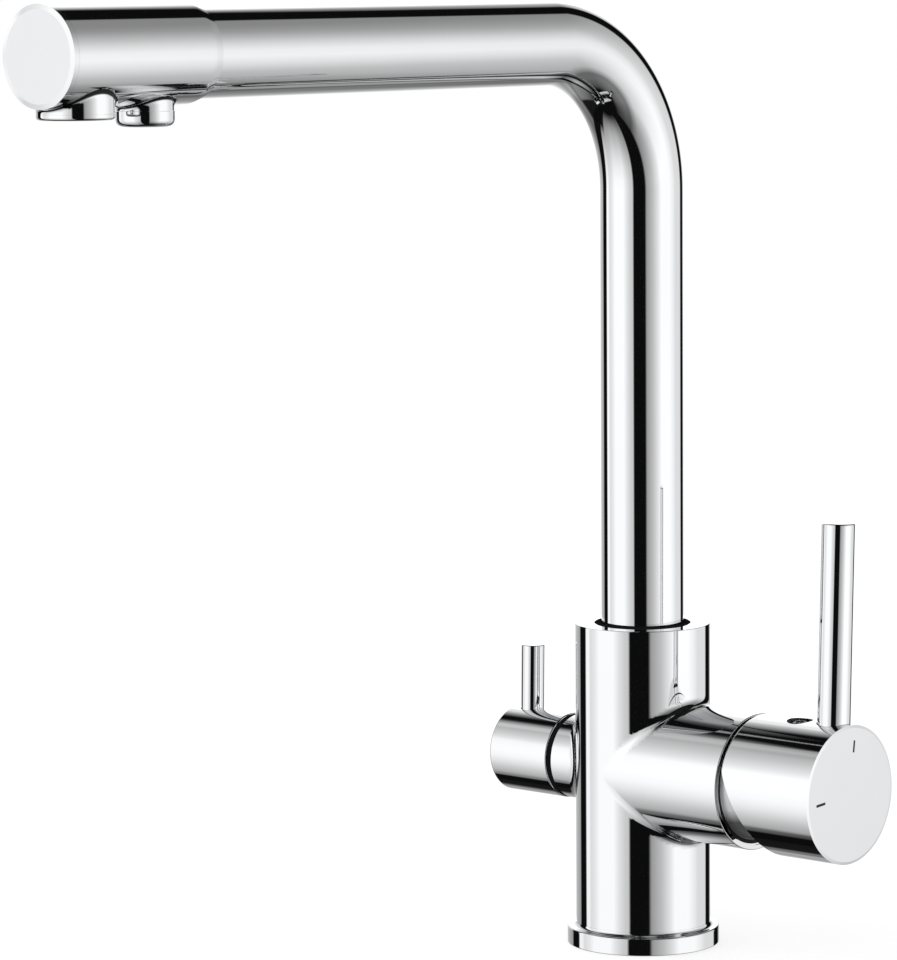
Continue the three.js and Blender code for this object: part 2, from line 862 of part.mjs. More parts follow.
function discCarrier() {
  const to = carrierFoot + carrierThickness;
  const plate = rod(movingDiscRadius, carrierFoot, to).translate(discTravel / 2, 0, 0);
  const socket = rod(stemBall + gap, carrierFoot + 0.4, to + 1, coarseSides);
  return alongX(cut(plate, socket));
}

/** Turning head of the cartridge, slotted for the stem and drilled for the stem's pin. */
function cartridgeRotor() {
  const hubEnd = rotorShoulder + rotorHubLength;
  const head = revolve([
    [0, rotorFoot],
    [innerRadius - gap, rotorFoot],
    [innerRadius - gap, rotorShoulder - gap],
    [rotorHubRadius, rotorShoulder - gap],
    [rotorHubRadius, hubEnd],
    [0, hubEnd],
  ]);
  const slotUp = stemSide / 2 + discTravel + 1.2;
  const slotDown = stemSide / 2 + 2.5;
  const slot = block(3 * rotorFlange + rotorHubLength, stemSide + 2 * gap, slotUp + slotDown)
    .translate(rotorShoulder, 0, (slotUp - slotDown) / 2);
  const pinHole = alongY(rod(pinRadius + gap, -columnRadius, columnRadius, boreSides));
  return cut(alongX(head), slot, pinHole.translate(pivotX, 0, 0));
}

function stemPin() {
  const half = Math.sqrt(rotorHubRadius ** 2 - pinRadius ** 2) - 0.2;
  return alongY(rod(pinRadius, -half, half, boreSides)).translate(pivotX, 0, 0);
}

/** Square stem with a ball that drives the disc carrier; it rocks on the pin with the handle. */
function cartridgeStem() {
  const end = handleHubFace + stemInHandle;
  const start = pivotX - stemDrive + 2.3;
  const bar = block(end - start, stemSide, stemSide).translate((start + end) / 2, 0, 0);
  const ballEnd = cut(
    ball(stemBall).translate(pivotX - stemDrive, 0, 0),
    block(stemBall, 4 * stemBall, 4 * stemBall).translate(carrierFoot + stemRelief - stemBall / 2, 0, 0),
  );
  const pinHole = alongY(rod(pinRadius + gap, -stemSide, stemSide, boreSides)).translate(pivotX, 0, 0);
  return cut(join(bar, ballEnd), pinHole);
}

function cartridgeNut() {
  const top = nutBottom + nutThickness;
  const outer = mouthRadius - gap;
  const inner = rotorHubRadius + 1;
  const notches = [0, 90, 180, 270].map((angle) =>
    block(nutNotch, 2 * nutNotch, nutThickness)
      .translate(0, inner, top - nutThickness / 4)
      .rotateZ(radians(angle)));
  return alongX(cut(ring(inner, outer, nutBottom, top), ...notches));
}

/** Polished dome round the stem; a part of a sphere about the pivot on a ring in the arm's mouth. */
function cartridgeDome() {
  const foot = nutBottom + nutThickness + gap;
  const arc = (radius, from, to) => {
    const steps = 3;
    return Array.from({ length: steps + 1 }, (_, k) => {
      const angle = from + ((to - from) * k) / steps;
      return [radius * Math.sin(angle), pivotX + radius * Math.cos(angle)];
    });
  };
  const inner = domeRadius - domeWall;
  const rim = radians(domeOpening);
  const ringTop = foot + 0.8;
  const outerFoot = Math.acos((ringTop - pivotX) / domeRadius);
  const innerFoot = Math.acos((foot - pivotX) / inner);
  return alongX(revolve([
    [domeFootRadius, foot],
    [domeFootRadius, ringTop],
    ...arc(domeRadius, outerFoot, rim),
    ...arc(inner, rim, innerFoot),
  ], fineSides));
}

// ------------------------------------------------------------------ mixer handle

const handleScrewTop = handleRadius - handleScrewDepth;
const leverFoot = handleRadius - leverSeat;

/** One engraved mark on the handle's face, turned from the top towards the front. */
function tick(angle) {
  return block(2 * tickDepth, tickWidth, tickLength)
    .translate(handleEnd, 0, tickRadius)
    .rotateX(radians(angle));
}

/**
 * Hollow cylinder over the dome, with a hub for the stem and a rib that holds the lever and the screw.
 * Its lower rear skirt is cut away so that it can tip.
 */
function mixerHandle() {
  const cup = alongX(revolve([
    [0, handleHubFace],
    [handleRadius - handleWall, handleHubFace],
    [handleRadius - handleWall, handleStart],
    [handleRadius, handleStart, handleMouthEdge],
    [handleRadius, handleEnd, handleEdge],
    [0, handleEnd],
  ], fineSides));
  const hollowEnd = handleEnd - handleFaceWall;
  const hollow = cut(
    alongX(ring(handleHub, handleRadius - handleWall, handleHubFace - 1, hollowEnd, fineSides)),
    block(handleLength, handleRib, handleRadius).translate(hollowEnd, 0, handleRadius / 2),
  );
  const size = 4 * handleRadius;
  const skirt = block(size, size, size)
    .translate(-size / 2, 0, 0)
    .rotateY(-radians(skirtAngle))
    .translate(handleStart + skirtGap, 0, 0);
  const stemHole = block(2 * stemInHandle + 2 * gap, stemSide + 2 * gap, stemSide + 2 * gap)
    .translate(handleHubFace, 0, 0);
  return cut(
    cup,
    hollow,
    skirt,
    stemHole,
    rod(handleScrewRadius + gap, 0, handleRadius, coarseSides).translate(handleScrewX, 0, 0),
    rod(handleScrewRecess, handleScrewTop, handleRadius + 1, coarseSides).translate(handleScrewX, 0, 0),
    rod(leverRadius + gap, leverFoot - gap, handleRadius + 1).translate(leverX, 0, 0),
    rod(leverStub + gap, leverFoot - leverStubLength - gap, leverFoot, coarseSides).translate(leverX, 0, 0),
    tick(upperTickAngle),
    tick(frontTickAngle),
  );
}

function mixerLever() {
  return revolve([
    [0, leverFoot - leverStubLength],
    [leverStub, leverFoot - leverStubLength],
    [leverStub, leverFoot],
    [leverRadius, leverFoot],
    [leverRadius, handleRadius + leverLength, leverEdge],
    [0, handleRadius + leverLength],
  ]).translate(leverX, 0, 0);
}

function handleGrubScrew() {
  const tip = handleScrewRadius - 0.9;
  return setScrew(handleScrewRadius, tip, 0.8, stemSide / 2 + gap, handleScrewTop - gap)
    .translate(handleScrewX, 0, 0);
}

// ------------------------------------------------------------------ filter valve, out along -X

const washerFoot = valveFloor + gap;
const filterDiscFoot = washerFoot + washerThickness + gap;
const turningDiscFoot = filterDiscFoot + filterDiscThickness + gap;
const spindleFoot = turningDiscFoot + filterDiscThickness + gap;
const spindleShoulder = spindleFoot + spindleFlange;
const filterDiscRadius = valveRadius - valveWall - gap;

function filterSeatWasher() {
  return alongMinusX(ring(washerHole, valveRadius, washerFoot, washerFoot + washerThickness));
}

/** Ceramic disc with an opening on either side of its middle. */
function portedDisc(foot, openingRadius, offset) {
  const to = foot + filterDiscThickness;
  const openings = [-1, 1].map((side) =>
    rod(openingRadius, foot - 1, to + 1, coarseSides).translate(side * offset, 0, 0));
  return cut(rod(filterDiscRadius, foot, to), ...openings);
}

function filterFixedDisc() {
  return alongMinusX(portedDisc(filterDiscFoot, filterPort, filterPortOffset));
}

/** Turning disc: its openings break through the rim, where the water leaves for the windows. */
function filterTurningDisc() {
  const opening = filterPort + 0.8;
  const offset = filterDiscRadius - opening + 0.8;
  return alongMinusX(portedDisc(turningDiscFoot, opening, offset).rotateZ(Math.PI / 2));
}

/** Brass housing of the quarter turn valve, with two windows that let the water out. */
function filterValveHousing() {
  const inner = valveRadius - valveWall;
  const lid = spindleShoulder + gap;
  const shell = revolve([
    [inner, filterDiscFoot],
    [valveRadius, filterDiscFoot],
    [valveRadius, valveEnd],
    [spindleRadius + gap, valveEnd],
    [spindleRadius + gap, lid],
    [inner, lid],
  ]);
  const window = alongX(rod(filterPort, -columnRadius, columnRadius, boreSides))
    .translate(0, 0, spindleFoot - filterPort + 1);
  return alongMinusX(cut(shell, window));
}

function filterSpindle() {
  const end = filterHandleStart + spindleInHandle;
  return alongMinusX(revolve([
    [0, spindleFoot],
    [filterDiscRadius, spindleFoot],
    [filterDiscRadius, spindleShoulder],
    [spindleRadius, spindleShoulder],
    [spindleRadius, end],
    [0, end],
  ], sides));
}

/** Black ring between the arm and the filter handle. */
function filterGlideRing() {
  return alongMinusX(ring(
    spindleRadius + gap,
    filterRingRadius,
    neckEnd + gap,
    filterHandleStart - gap,
  ));
}

const filterLeverFoot = filterHandleRadius - filterLeverSeat;
const filterScrewFoot = filterHandleRadius - filterScrewRecess;

function filterHandle() {
  const inner = filterHandleRadius - filterHandleWall;
  const cup = alongMinusX(revolve([
    [0, filterHandleStart + filterHandleCup],
    [inner, filterHandleStart + filterHandleCup],
    [inner, filterHandleStart],
    [filterHandleRadius, filterHandleStart, filterHandleMouthEdge],
    [filterHandleRadius, filterHandleEnd, filterHandleEdge],
    [0, filterHandleEnd],
  ], fineSides));
  const spindleEnd = filterHandleStart + spindleInHandle + gap;
  return cut(
    cup,
    alongMinusX(rod(spindleRadius + gap, filterHandleStart, spindleEnd, coarseSides)),
    rod(filterLeverRadius + gap, filterLeverFoot - gap, filterHandleRadius + 1)
      .translate(-filterLeverX, 0, 0),
    rod(filterLeverStub + gap, spindleRadius + 1, filterHandleRadius, coarseSides)
      .translate(-filterLeverX, 0, 0),
    rod(filterScrewRadius + gap, -filterHandleRadius - 1, 0, coarseSides).translate(-filterScrewX, 0, 0),
  );
}

function filterLever() {
  return revolve([
    [0, spindleRadius + 1.4],
    [filterLeverStub, spindleRadius + 1.4],
    [filterLeverStub, filterLeverFoot],
    [filterLeverRadius, filterLeverFoot],
    [filterLeverRadius, filterHandleRadius + filterLeverLength, filterLeverEdge],
    [0, filterHandleRadius + filterLeverLength],
  ], sides).translate(-filterLeverX, 0, 0);
}

function filterGrubScrew() {
  const tip = filterScrewRadius - 0.6;
  return setScrew(filterScrewRadius, tip, 0.6, spindleRadius + gap, filterScrewFoot)
    .rotateX(Math.PI)
    .translate(-filterScrewX, 0, 0);
}

// ------------------------------------------------------------------ assembly

function group(height, turn, pieces) {
  const result = new THREE.Group();
  result.position.z = height;
  result.rotation.x = -radians(turn);
  pieces.forEach(([name, geometry, finish]) => {
    const mesh = new THREE.Mesh(geometry, finish);
    mesh.name = name;
    result.add(mesh);
  });
  return result;
}

const bodyGroup = group(0, 0, [
  ['body', bodyCasting(), chrome],
  ['base_flange', baseFlange(), chrome],
  ['base_gasket', baseGasket(), rubber],
  ['filtered_water_connector', filteredWaterConnector(), brass],
  ['spout_glide_ring', glideRing(), whitePlastic],
  ['spout_grub_screw', spoutGrubScrew(), steel],
]);

const spoutGroup = group(0, 0, [
  ['spout_insert', spoutInsert(), brass],
  ['spout_o_ring_lower', spoutSeal(lowerSealZ), rubber],
  ['spout_o_ring_upper', spoutSeal(upperSealZ), rubber],
  ['spout_tube', spoutTube(), chrome],
  ['spout_sleeve', spoutSleeve(), chrome],
  ['spout_end_cap', spoutEndCap(), chrome],
  ['end_cap_o_ring', endCapSeal(), rubber],
  ['filtered_water_hose', filteredWaterHose(), hosePlastic],
  ['aerator_housing', aeratorHousing(), chrome],
  ['aerator_insert', aeratorInsert(), whitePlastic],
  ['aerator_washer', aeratorWasher(), rubber],
  ['filter_nozzle', filterNozzle(), chrome],
  ['filter_nozzle_insert', nozzleInsert(), whitePlastic],
  ['filter_nozzle_elbow', nozzleElbow(), brass],
]);

const cartridgeGroup = group(armHeight, 0, [
  ['cartridge_seal', cartridgeSeal(), rubber],
  ['cartridge_base', cartridgeBase(), blackPlastic],
  ['cartridge_casing', cartridgeCasing(), whitePlastic],
  ['cartridge_fixed_disc', fixedDisc(), ceramic],
  ['cartridge_nut', cartridgeNut(), brass],
  ['cartridge_dome', cartridgeDome(), chrome],
]);

const mixerGroup = group(armHeight, mixerTurn, [
  ['cartridge_moving_disc', movingDisc(), ceramic],
  ['cartridge_disc_carrier', discCarrier(), blackPlastic],
  ['cartridge_rotor', cartridgeRotor(), whitePlastic],
  ['cartridge_stem_pin', stemPin(), steel],
  ['cartridge_stem', cartridgeStem(), brass],
  ['mixer_handle', mixerHandle(), chrome],
  ['mixer_lever', mixerLever(), chrome],
  ['handle_grub_screw', handleGrubScrew(), steel],
]);

const valveGroup = group(armHeight, 0, [
  ['filter_seat_washer', filterSeatWasher(), rubber],
  ['filter_fixed_disc', filterFixedDisc(), ceramic],
  ['filter_valve_housing', filterValveHousing(), brass],
  ['filter_glide_ring', filterGlideRing(), blackPlastic],
]);

const filterGroup = group(armHeight, filterTurn, [
  ['filter_turning_disc', filterTurningDisc(), ceramic],
  ['filter_spindle', filterSpindle(), brass],
  ['filter_handle', filterHandle(), chrome],
  ['filter_lever', filterLever(), chrome],
  ['filter_grub_screw', filterGrubScrew(), steel],
]);

const tap = new THREE.Group();
tap.add(bodyGroup, spoutGroup, cartridgeGroup, mixerGroup, valveGroup, filterGroup);

export default tap;
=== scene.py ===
"""Looks for the three way filtered water tap: polished castings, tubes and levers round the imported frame.

Lengths are in millimetres until a mesh is made, in the frame of the CAD: +Z up, the spout along -Y, the
mixer arm along +X and the filter arm along -X. The origin is the centre of the base's underside.
"""

import json
import math

import bmesh
import bpy
import numpy as np
from mathutils import Matrix, Vector


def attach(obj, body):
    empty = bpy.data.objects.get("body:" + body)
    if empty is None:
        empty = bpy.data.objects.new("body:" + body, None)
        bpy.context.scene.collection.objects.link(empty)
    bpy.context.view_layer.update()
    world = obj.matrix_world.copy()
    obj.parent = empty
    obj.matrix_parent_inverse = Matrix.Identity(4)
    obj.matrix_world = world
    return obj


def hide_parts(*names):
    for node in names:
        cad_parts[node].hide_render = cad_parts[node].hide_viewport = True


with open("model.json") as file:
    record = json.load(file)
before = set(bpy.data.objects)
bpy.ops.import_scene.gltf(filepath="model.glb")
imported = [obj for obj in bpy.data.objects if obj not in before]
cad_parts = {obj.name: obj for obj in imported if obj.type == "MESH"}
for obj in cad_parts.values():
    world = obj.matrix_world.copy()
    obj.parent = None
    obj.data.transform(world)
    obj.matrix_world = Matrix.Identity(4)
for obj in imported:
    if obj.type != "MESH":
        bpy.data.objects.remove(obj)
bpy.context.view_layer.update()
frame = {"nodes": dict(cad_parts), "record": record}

MM = 0.001
X, Y, Z = np.eye(3)

# ---- sizes

# The casting and the base
ARM = 61.0
COLUMN_R = 23.0
COLUMN_TOP = 110.4
ARM_R = 23.0
ARM_END = 50.2
NECK_R = 14.5
NECK_END = 29.3
NECK_BORE_R = 10.5
JUNCTION_FILLET = 3.0
FLANGE_R = 26.0
FLANGE_HEIGHT = 6.0
FOOT_FILLET = 1.3
INLET_R = 4.0
STUD_HOLE_R = 3.2
SOCKET_R = 14.5
CHAMBER_R = 17.9
LEDGE_R = 20.9
MOUTH_R = 21.4
SPOUT_SCREW_Z = 93.45

# The spout and its head
TUBE_R = 14.0
TUBE_WALL = 1.5
TUBE_FOOT = 102.5
TUBE_END = 221.4
BEND_R = 50.0
SPOUT_Z = 308.0
REACH = 275.4
HEAD_R = 15.5
HEAD_START = 213.0
HEAD_FACE = 273.1
HEAD_FILLET = 1.3
AERATOR_Y = -260.7
AERATOR_BOSS = 11.7
AERATOR_SWING = -10.0
NOZZLE_Y = -232.2
NOZZLE_BOSS = 8.75
NOZZLE_SWING = -6.0
SHOULDER_LEAN = 0.2

# The mixer handle and the dome behind it
MIXER_TURN = math.radians(-1.9)
HANDLE_R = 23.2
HANDLE_BORE_R = 21.2
HANDLE_START = 51.3
HANDLE_END = 88.7
SKIRT_AT = 55.0
SKIRT_TILT = math.radians(-24.5)
SCREW_X = 69.1
SCREW_LEAN = math.radians(6.0)
LEVER_X = 81.3
LEVER_R = 5.5
LEVER_RISE = 66.3
PIVOT_X = 46.0
DOME_R = 19.6
DOME_WALL = 1.2
DOME_FOOT = 49.5
DOME_OPENING = math.radians(41)

# The filter handle
FILTER_TURN = math.radians(-1.1)
FILTER_R = 14.7
FILTER_START = 31.5
FILTER_END = 57.3
FILTER_SCREW_X = -42.0
FILTER_LEVER_X = -50.2
FILTER_LEVER_R = 4.0
FILTER_LEVER_RISE = 22.2

# ---- helpers


def link(made):
    bpy.context.scene.collection.objects.link(made)
    return made


def new_object(name, verts, faces):
    mesh = bpy.data.meshes.new(name)
    mesh.from_pydata(verts, [], faces)
    return link(bpy.data.objects.new(name, mesh))


class Graph:
    """A node tree with short calls for the nodes that the materials and the world use."""

    def __init__(self, tree):
        self.tree = tree
        tree.nodes.clear()

    def node(self, kind, inputs=None, **settings):
        made = self.tree.nodes.new("ShaderNode" + kind)
        for key, value in settings.items():
            setattr(made, key, value)
        for key, value in (inputs or {}).items():
            socket = made.inputs[key]
            if isinstance(value, bpy.types.NodeSocket):
                self.tree.links.new(value, socket)
            else:
                socket.default_value = value
        return made

    def link(self, source, target):
        self.tree.links.new(source, target)

    def math(self, operation, *values):
        return self.node("Math", dict(enumerate(values)), operation=operation).outputs[0]

    def ramp(self, value, stops):
        """A ramp with the stops (place, grey or colour)."""
        made = self.node("ValToRGB", {0: value})
        ramp = made.color_ramp
        while len(ramp.elements) < len(stops):
            ramp.elements.new(0.5)
        for element, (place, shade) in zip(ramp.elements, sorted(stops)):
            element.position = place
            colour = (shade,) * 3 if isinstance(shade, (int, float)) else shade
            element.color = (*colour[:3], 1)
        return made.outputs[0]

    def spread(self, value, low, high, to_low=0.0, to_high=1.0):
        """Maps the values from low to high onto those from to_low to to_high, and holds them there."""
        inputs = {0: value, 1: low, 2: high, 3: to_low, 4: to_high}
        return self.node("MapRange", inputs, clamp=True).outputs[0]

    def noise(self, vector, scale, detail=2.0, roughness=0.5):
        inputs = {"Vector": vector, "Scale": scale, "Detail": detail, "Roughness": roughness}
        return self.node("TexNoise", inputs).outputs[0]


# ---- camera

FOCAL_PX = 4580.0
LONG_SIDE_PX = 960.0
SENSOR = 36.0
CAMERA_AT = (989.61, -1190.64, 335.23)
AZIMUTH, PITCH, ROLL = (math.radians(a) for a in (42.168, 6.476, -0.414))


def make_camera():
    back = Vector((
        math.sin(AZIMUTH) * math.cos(PITCH),
        -math.cos(AZIMUTH) * math.cos(PITCH),
        math.sin(PITCH),
    ))
    level = Vector((math.cos(AZIMUTH), math.sin(AZIMUTH), 0))
    upright = back.cross(level)
    right = level * math.cos(ROLL) + upright * math.sin(ROLL)
    up = upright * math.cos(ROLL) - level * math.sin(ROLL)
    data = bpy.data.cameras.new("camera")
    data.sensor_fit = "AUTO"
    data.sensor_width = SENSOR
    data.lens = FOCAL_PX * SENSOR / LONG_SIDE_PX
    camera = bpy.data.objects.new("camera", data)
    camera.matrix_world = Matrix.Translation(Vector(CAMERA_AT) * MM) @ Matrix((
        (right.x, up.x, back.x),
        (right.y, up.y, back.y),
        (right.z, up.z, back.z),
    )).to_4x4()
    bpy.context.scene.camera = link(camera)


# ---- studio

# Each softbox stands round the tap like a panel of a light tent. Its brightness as the chrome shows it, 1
# for white, is given across (degrees round the tap from the spout's side, over the mixer's) and upwards
# (degrees above the horizon, as a share of the brightness across). Between them the studio is dark.
CHROME_REFLECTS = 0.9
FRONT_ABOVE = [(0, 1), (20, 1), (27, 0.92), (43, 0.8), (49, 0.69), (54, 0.3), (60, 0)]
SOFTBOXES = {
    "front_left_side": {
        "across": [(-75, 0), (-73, 1), (-66, 1), (-61, 0)],
        "upwards": [(-53, 0), (-48, 0.4), (-44, 0.58), (-29, 0.8), (-10, 0.96), *FRONT_ABOVE],
    },
    "front_left": {
        "across": [(-66, 0), (-61, 0.87), (-50, 0.92), (-40, 1), (-12, 1),
                   (-2, 0.9), (10, 0.8), (15, 0.79), (18, 0)],
        "upwards": [(-77, 0), (-73, 0.25), (-67, 0.47), (-56, 0.66), (-45, 0.76), (-35, 0.85), (-25, 0.92),
                    (-12, 0.98), *FRONT_ABOVE],
    },
    "right": {
        "across": [(50, 0), (54, 0.6), (72, 0.75), (88, 0.91), (96, 1), (124, 1), (140, 0.93),
                   (148, 0.87), (174, 0.86), (177, 0)],
        "upwards": [(-72, 0), (-66, 0.35), (-56, 0.46), (-49, 0.46), (-46, 0.6), (-39, 0.8), (-20, 0.94),
                    (-8, 1), (3, 0.98), (15, 0.88),
                    (23, 0.79), (33, 0.69), (41, 0.61), (47, 0.6), (49, 0.4), (52, 0)],
    },
    "back_left": {
        "across": [(-162, 0), (-159, 0.7), (-152, 0.74), (-146, 0.95), (-138, 1), (-130, 1),
                   (-122, 0.8), (-96, 0.66), (-93, 0)],
        "upwards": [(-45, 0.1), (-41, 0.5), (-38, 0.66), (-31, 0.58), (-22, 0.72), (-11, 0.92),
                    (-3, 1), (2, 1.15), (20, 1.15), (28, 1.05), (34, 0.82), (37, 0.66), (40, 0)],
    },
    "back_left_high": {
        "across": [(-146, 0), (-138, 0.9), (-118, 0.9), (-106, 0.7), (-101, 0)],
        "upwards": [(28, 0), (35, 0.6), (39, 0.92), (43, 0.75), (47, 0.5), (49, 0)],
    },
    "front_left_edge": {
        "across": [(-89, 0), (-84, 0.3), (-78, 0.6), (-75, 0.62), (-73, 0)],
        "upwards": [(42, 0), (45, 0.9), (49, 1), (52, 0)],
    },
    "back_low": {
        "across": [(-179, 0), (-176, 0.5), (-164, 0.62), (-160, 0)],
        "upwards": [(-70, 0), (-66, 0.7), (-56, 0.85), (-44, 1), (-38, 1), (-33, 0)],
    },
    "back_left_low": {
        "across": [(-163, 0), (-160, 0.55), (-130, 0.5), (-122, 0.48), (-118, 0)],
        "upwards": [(-74, 0), (-70, 0.5), (-62, 0.8), (-54, 0.92), (-46, 1), (-43, 0.6), (-40, 0)],
    },
}
# The even light on everything that isn't a mirror
BACKGROUND = 0.85


def light(shade):
    """The light that shows as a shade between 0 and 1."""
    return shade / 12.92 if shade <= 0.04045 else ((shade + 0.055) / 1.055) ** 2.4


# The light between the softboxes, at degrees above the horizon
OVERHEAD = [(54, 0.004), (64.8, light(0.1))]


def make_world():
    world = bpy.data.worlds.new("studio")
    bpy.context.scene.world = world
    world.use_nodes = True
    g = Graph(world.node_tree)
    direction = g.node("TexCoord").outputs["Generated"]
    x, y, z = g.node("SeparateXYZ", {0: direction}).outputs
    azimuth = g.math("DIVIDE", g.math("ARCTAN2", x, g.math("MULTIPLY", y, -1.0)), 2 * math.pi)
    across = g.math("ADD", azimuth, 0.5)
    elevation = g.math("DIVIDE", g.math("ARCSINE", z), math.pi)
    upwards = g.math("ADD", elevation, 0.5)
    total = g.ramp(upwards, [(e / 180 + 0.5, shade) for e, shade in OVERHEAD])
    for box in SOFTBOXES.values():
        row = [((a + 180) / 360, light(v) / CHROME_REFLECTS) for a, v in box["across"]]
        column = [((e + 90) / 180, light(v)) for e, v in box["upwards"]]
        panel = g.math("MULTIPLY", g.ramp(across, row), g.ramp(upwards, column))
        total = g.math("ADD", total, panel)
    path = g.node("LightPath").outputs
    studio = g.node("Background", {0: total, 1: 1.0}).outputs[0]
    plain = g.node("Background", {0: (1, 1, 1, 1), 1: BACKGROUND}).outputs[0]
    white = g.node("Background", {0: (1, 1, 1, 1), 1: 1.0}).outputs[0]
    lit = g.node("MixShader", {0: path["Is Glossy Ray"], 1: plain, 2: studio}).outputs[0]
    seen = g.math("MAXIMUM", path["Is Camera Ray"], path["Is Transmission Ray"])
    mixed = g.node("MixShader", {0: seen, 1: lit, 2: white}).outputs[0]
    g.link(mixed, g.node("OutputWorld").inputs[0])


# In metres; the floor lies just under the base
FLOOR_SIZE = 8.0
FLOOR_DROP = 0.0002
FLOOR_SHADE, FLOOR_GLOW = 0.36, 0.72


def make_floor():
    """A pale floor; polished metal looks past it, and it keeps the tap's soft shadow."""
    half = FLOOR_SIZE / 2
    corners = [(-half, -half, 0), (half, -half, 0), (half, half, 0), (-half, half, 0)]
    floor = new_object("floor", corners, [(0, 1, 2, 3)])
    floor.location.z = -FLOOR_DROP
    material = bpy.data.materials.new("floor")
    material.use_nodes = True
    g = Graph(material.node_tree)
    path = g.node("LightPath").outputs
    matt = g.node("BsdfDiffuse", {"Color": (*(FLOOR_SHADE,) * 3, 1)}).outputs[0]
    glow = g.node("Emission", {"Color": (1, 1, 1, 1), "Strength": FLOOR_GLOW}).outputs[0]
    clear = g.node("BsdfTransparent").outputs[0]
    pale = g.node("AddShader", {0: matt, 1: glow}).outputs[0]
    shown = g.node("MixShader", {0: path["Is Glossy Ray"], 1: pale, 2: clear}).outputs[0]
    g.link(shown, g.node("OutputMaterial").inputs[0])
    floor.data.materials.append(material)


def make_lamp():
    """One large soft lamp above the front left, which the metal doesn't show."""
    data = bpy.data.lights.new("softbox", "AREA")
    data.shape = "RECTANGLE"
    data.size = 1.2
    data.size_y = 0.9
    data.energy = 9
    lamp = bpy.data.objects.new("softbox", data)
    lamp.location = (-0.5, -1.3, 1.5)
    aim = Vector((0, -0.1, 0.12)) - lamp.location
    lamp.rotation_euler = aim.to_track_quat("-Z", "Y").to_euler()
    lamp.visible_glossy = False
    link(lamp)


make_camera()
make_world()
make_floor()
make_lamp()
bpy.context.scene.view_settings.view_transform = "Standard"

# ---- materials


def start_material(name):
    material = bpy.data.materials.new(name)
    material.use_nodes = True
    g = Graph(material.node_tree)
    place = g.node("TexCoord").outputs["Object"]
    return material, g, place


def end_material(g, inputs):
    shader = g.node("BsdfPrincipled", inputs)
    g.link(shader.outputs[0], g.node("OutputMaterial").inputs[0])


# How far the painted shade in a seam reaches and where it ends; where the painted shade on the dome's lower
# side starts and is full, below the axis, and its most
SEAM_SHADE_REACH, SEAM_SHADE_FADES_AT = 0.5, 0.75
UNDERSIDE_SHADE_FROM, UNDERSIDE_SHADE_FULL, UNDERSIDE_SHADE_MOST = -7.0, -11.5, 0.85


def outlet_seam_shade(g, place):
    """From 0 to 1 in the hollows round the head's two bosses: painted shade, which darkens the chrome there.
    """
    x, y, z = g.node("SeparateXYZ", {0: place}).outputs
    height = g.math("SUBTRACT", z, SPOUT_Z * MM)

    def beyond(across, along, radius):
        squares = (g.math("MULTIPLY", value, value) for value in (across, along))
        return g.math("SUBTRACT", g.math("SQRT", g.math("ADD", *squares)), radius * MM)

    outside = beyond(x, height, HEAD_R)
    seams = []
    for radius, at in ((AERATOR_BOSS, AERATOR_Y), (NOZZLE_BOSS, NOZZLE_Y)):
        beside = beyond(x, g.math("SUBTRACT", y, at * MM), radius)
        furthest = g.math("MAXIMUM", beside, outside)
        near = g.spread(furthest, SEAM_SHADE_FADES_AT * MM, SEAM_SHADE_REACH * MM)
        seams.append(g.math("MULTIPLY", near, g.spread(beside, -0.3 * MM, -0.1 * MM)))
    underneath = g.spread(height, -1.0 * MM, -2.0 * MM)
    return g.math("MULTIPLY", g.math("MAXIMUM", *seams), underneath)


def dome_underside_shade(g, place):
    """Painted shade on the dome's lower side, darker towards the bottom."""
    z = g.node("SeparateXYZ", {0: place}).outputs["Z"]
    return g.spread(z, (ARM + UNDERSIDE_SHADE_FROM) * MM, (ARM + UNDERSIDE_SHADE_FULL) * MM, 0.0, UNDERSIDE_SHADE_MOST)


# The fineness of the chrome's haze, waviness and grain, and how far a shaded hollow darkens
HAZE_SCALE, WAVE_SCALE, GRAIN_SCALE = 38.0, 55.0, 2600.0
MOST_SHADED = 0.97


def chrome_finish(name, tint=(0.9, 0.905, 0.915), smooth=0.012, streak=0.02, metallic=1.0, shaded=None):
    """Bright chrome plate: a mirror with faint polishing haze and the slight waviness of plated brass."""
    material, g, place = start_material(name)
    haze = g.noise(place, HAZE_SCALE, 4.0, 0.6)
    waves = g.noise(place, WAVE_SCALE, 2.0, 0.4)
    grain = g.noise(place, GRAIN_SCALE, 2.0, 0.5)
    rough = g.math("ADD", g.spread(haze, 0.35, 0.75, smooth, smooth + streak),
                   g.math("MULTIPLY", grain, 0.006))
    shade = g.ramp(haze, [(0.3, tint), (0.75, tuple(c * 0.985 for c in tint))])
    # An optional mask darkens the plate's colour here: painted shade.
    if shaded:
        share = g.math("SUBTRACT", 1.0, g.math("MULTIPLY", shaded(g, place), MOST_SHADED))
        shade = g.node("VectorMath", {0: shade, "Scale": share}, operation="SCALE").outputs[0]
    bump = g.node("Bump", {"Strength": 0.012, "Distance": 0.0008, "Height": waves}).outputs[0]
    end_material(g, {"Base Color": shade, "Metallic": metallic, "Roughness": rough, "Normal": bump})
    return material


def machined_finish(name, colour, dark, rough):
    """Turned metal: fine tool marks, a slight tarnish and duller patches."""
    material, g, place = start_material(name)
    patches = g.noise(place, 60.0, 5.0, 0.6)
    marks = g.node("TexWave", {"Vector": place, "Scale": 900.0, "Distortion": 2.0, "Detail": 3.0,
                               "Detail Scale": 2.0}, bands_direction="Z").outputs["Fac"]
    shade = g.ramp(patches, [(0.3, dark), (0.62, colour), (0.8, tuple(min(1, c * 1.08) for c in colour))])
    roughness = g.math("ADD", g.spread(patches, 0.3, 0.8, rough + 0.12, rough),
                       g.math("MULTIPLY", marks, 0.05))
    bump = g.node("Bump", {"Strength": 0.15, "Distance": 0.0002, "Height": marks}).outputs[0]
    end_material(g, {"Base Color": shade, "Metallic": 1.0, "Roughness": roughness, "Normal": bump})
    return material


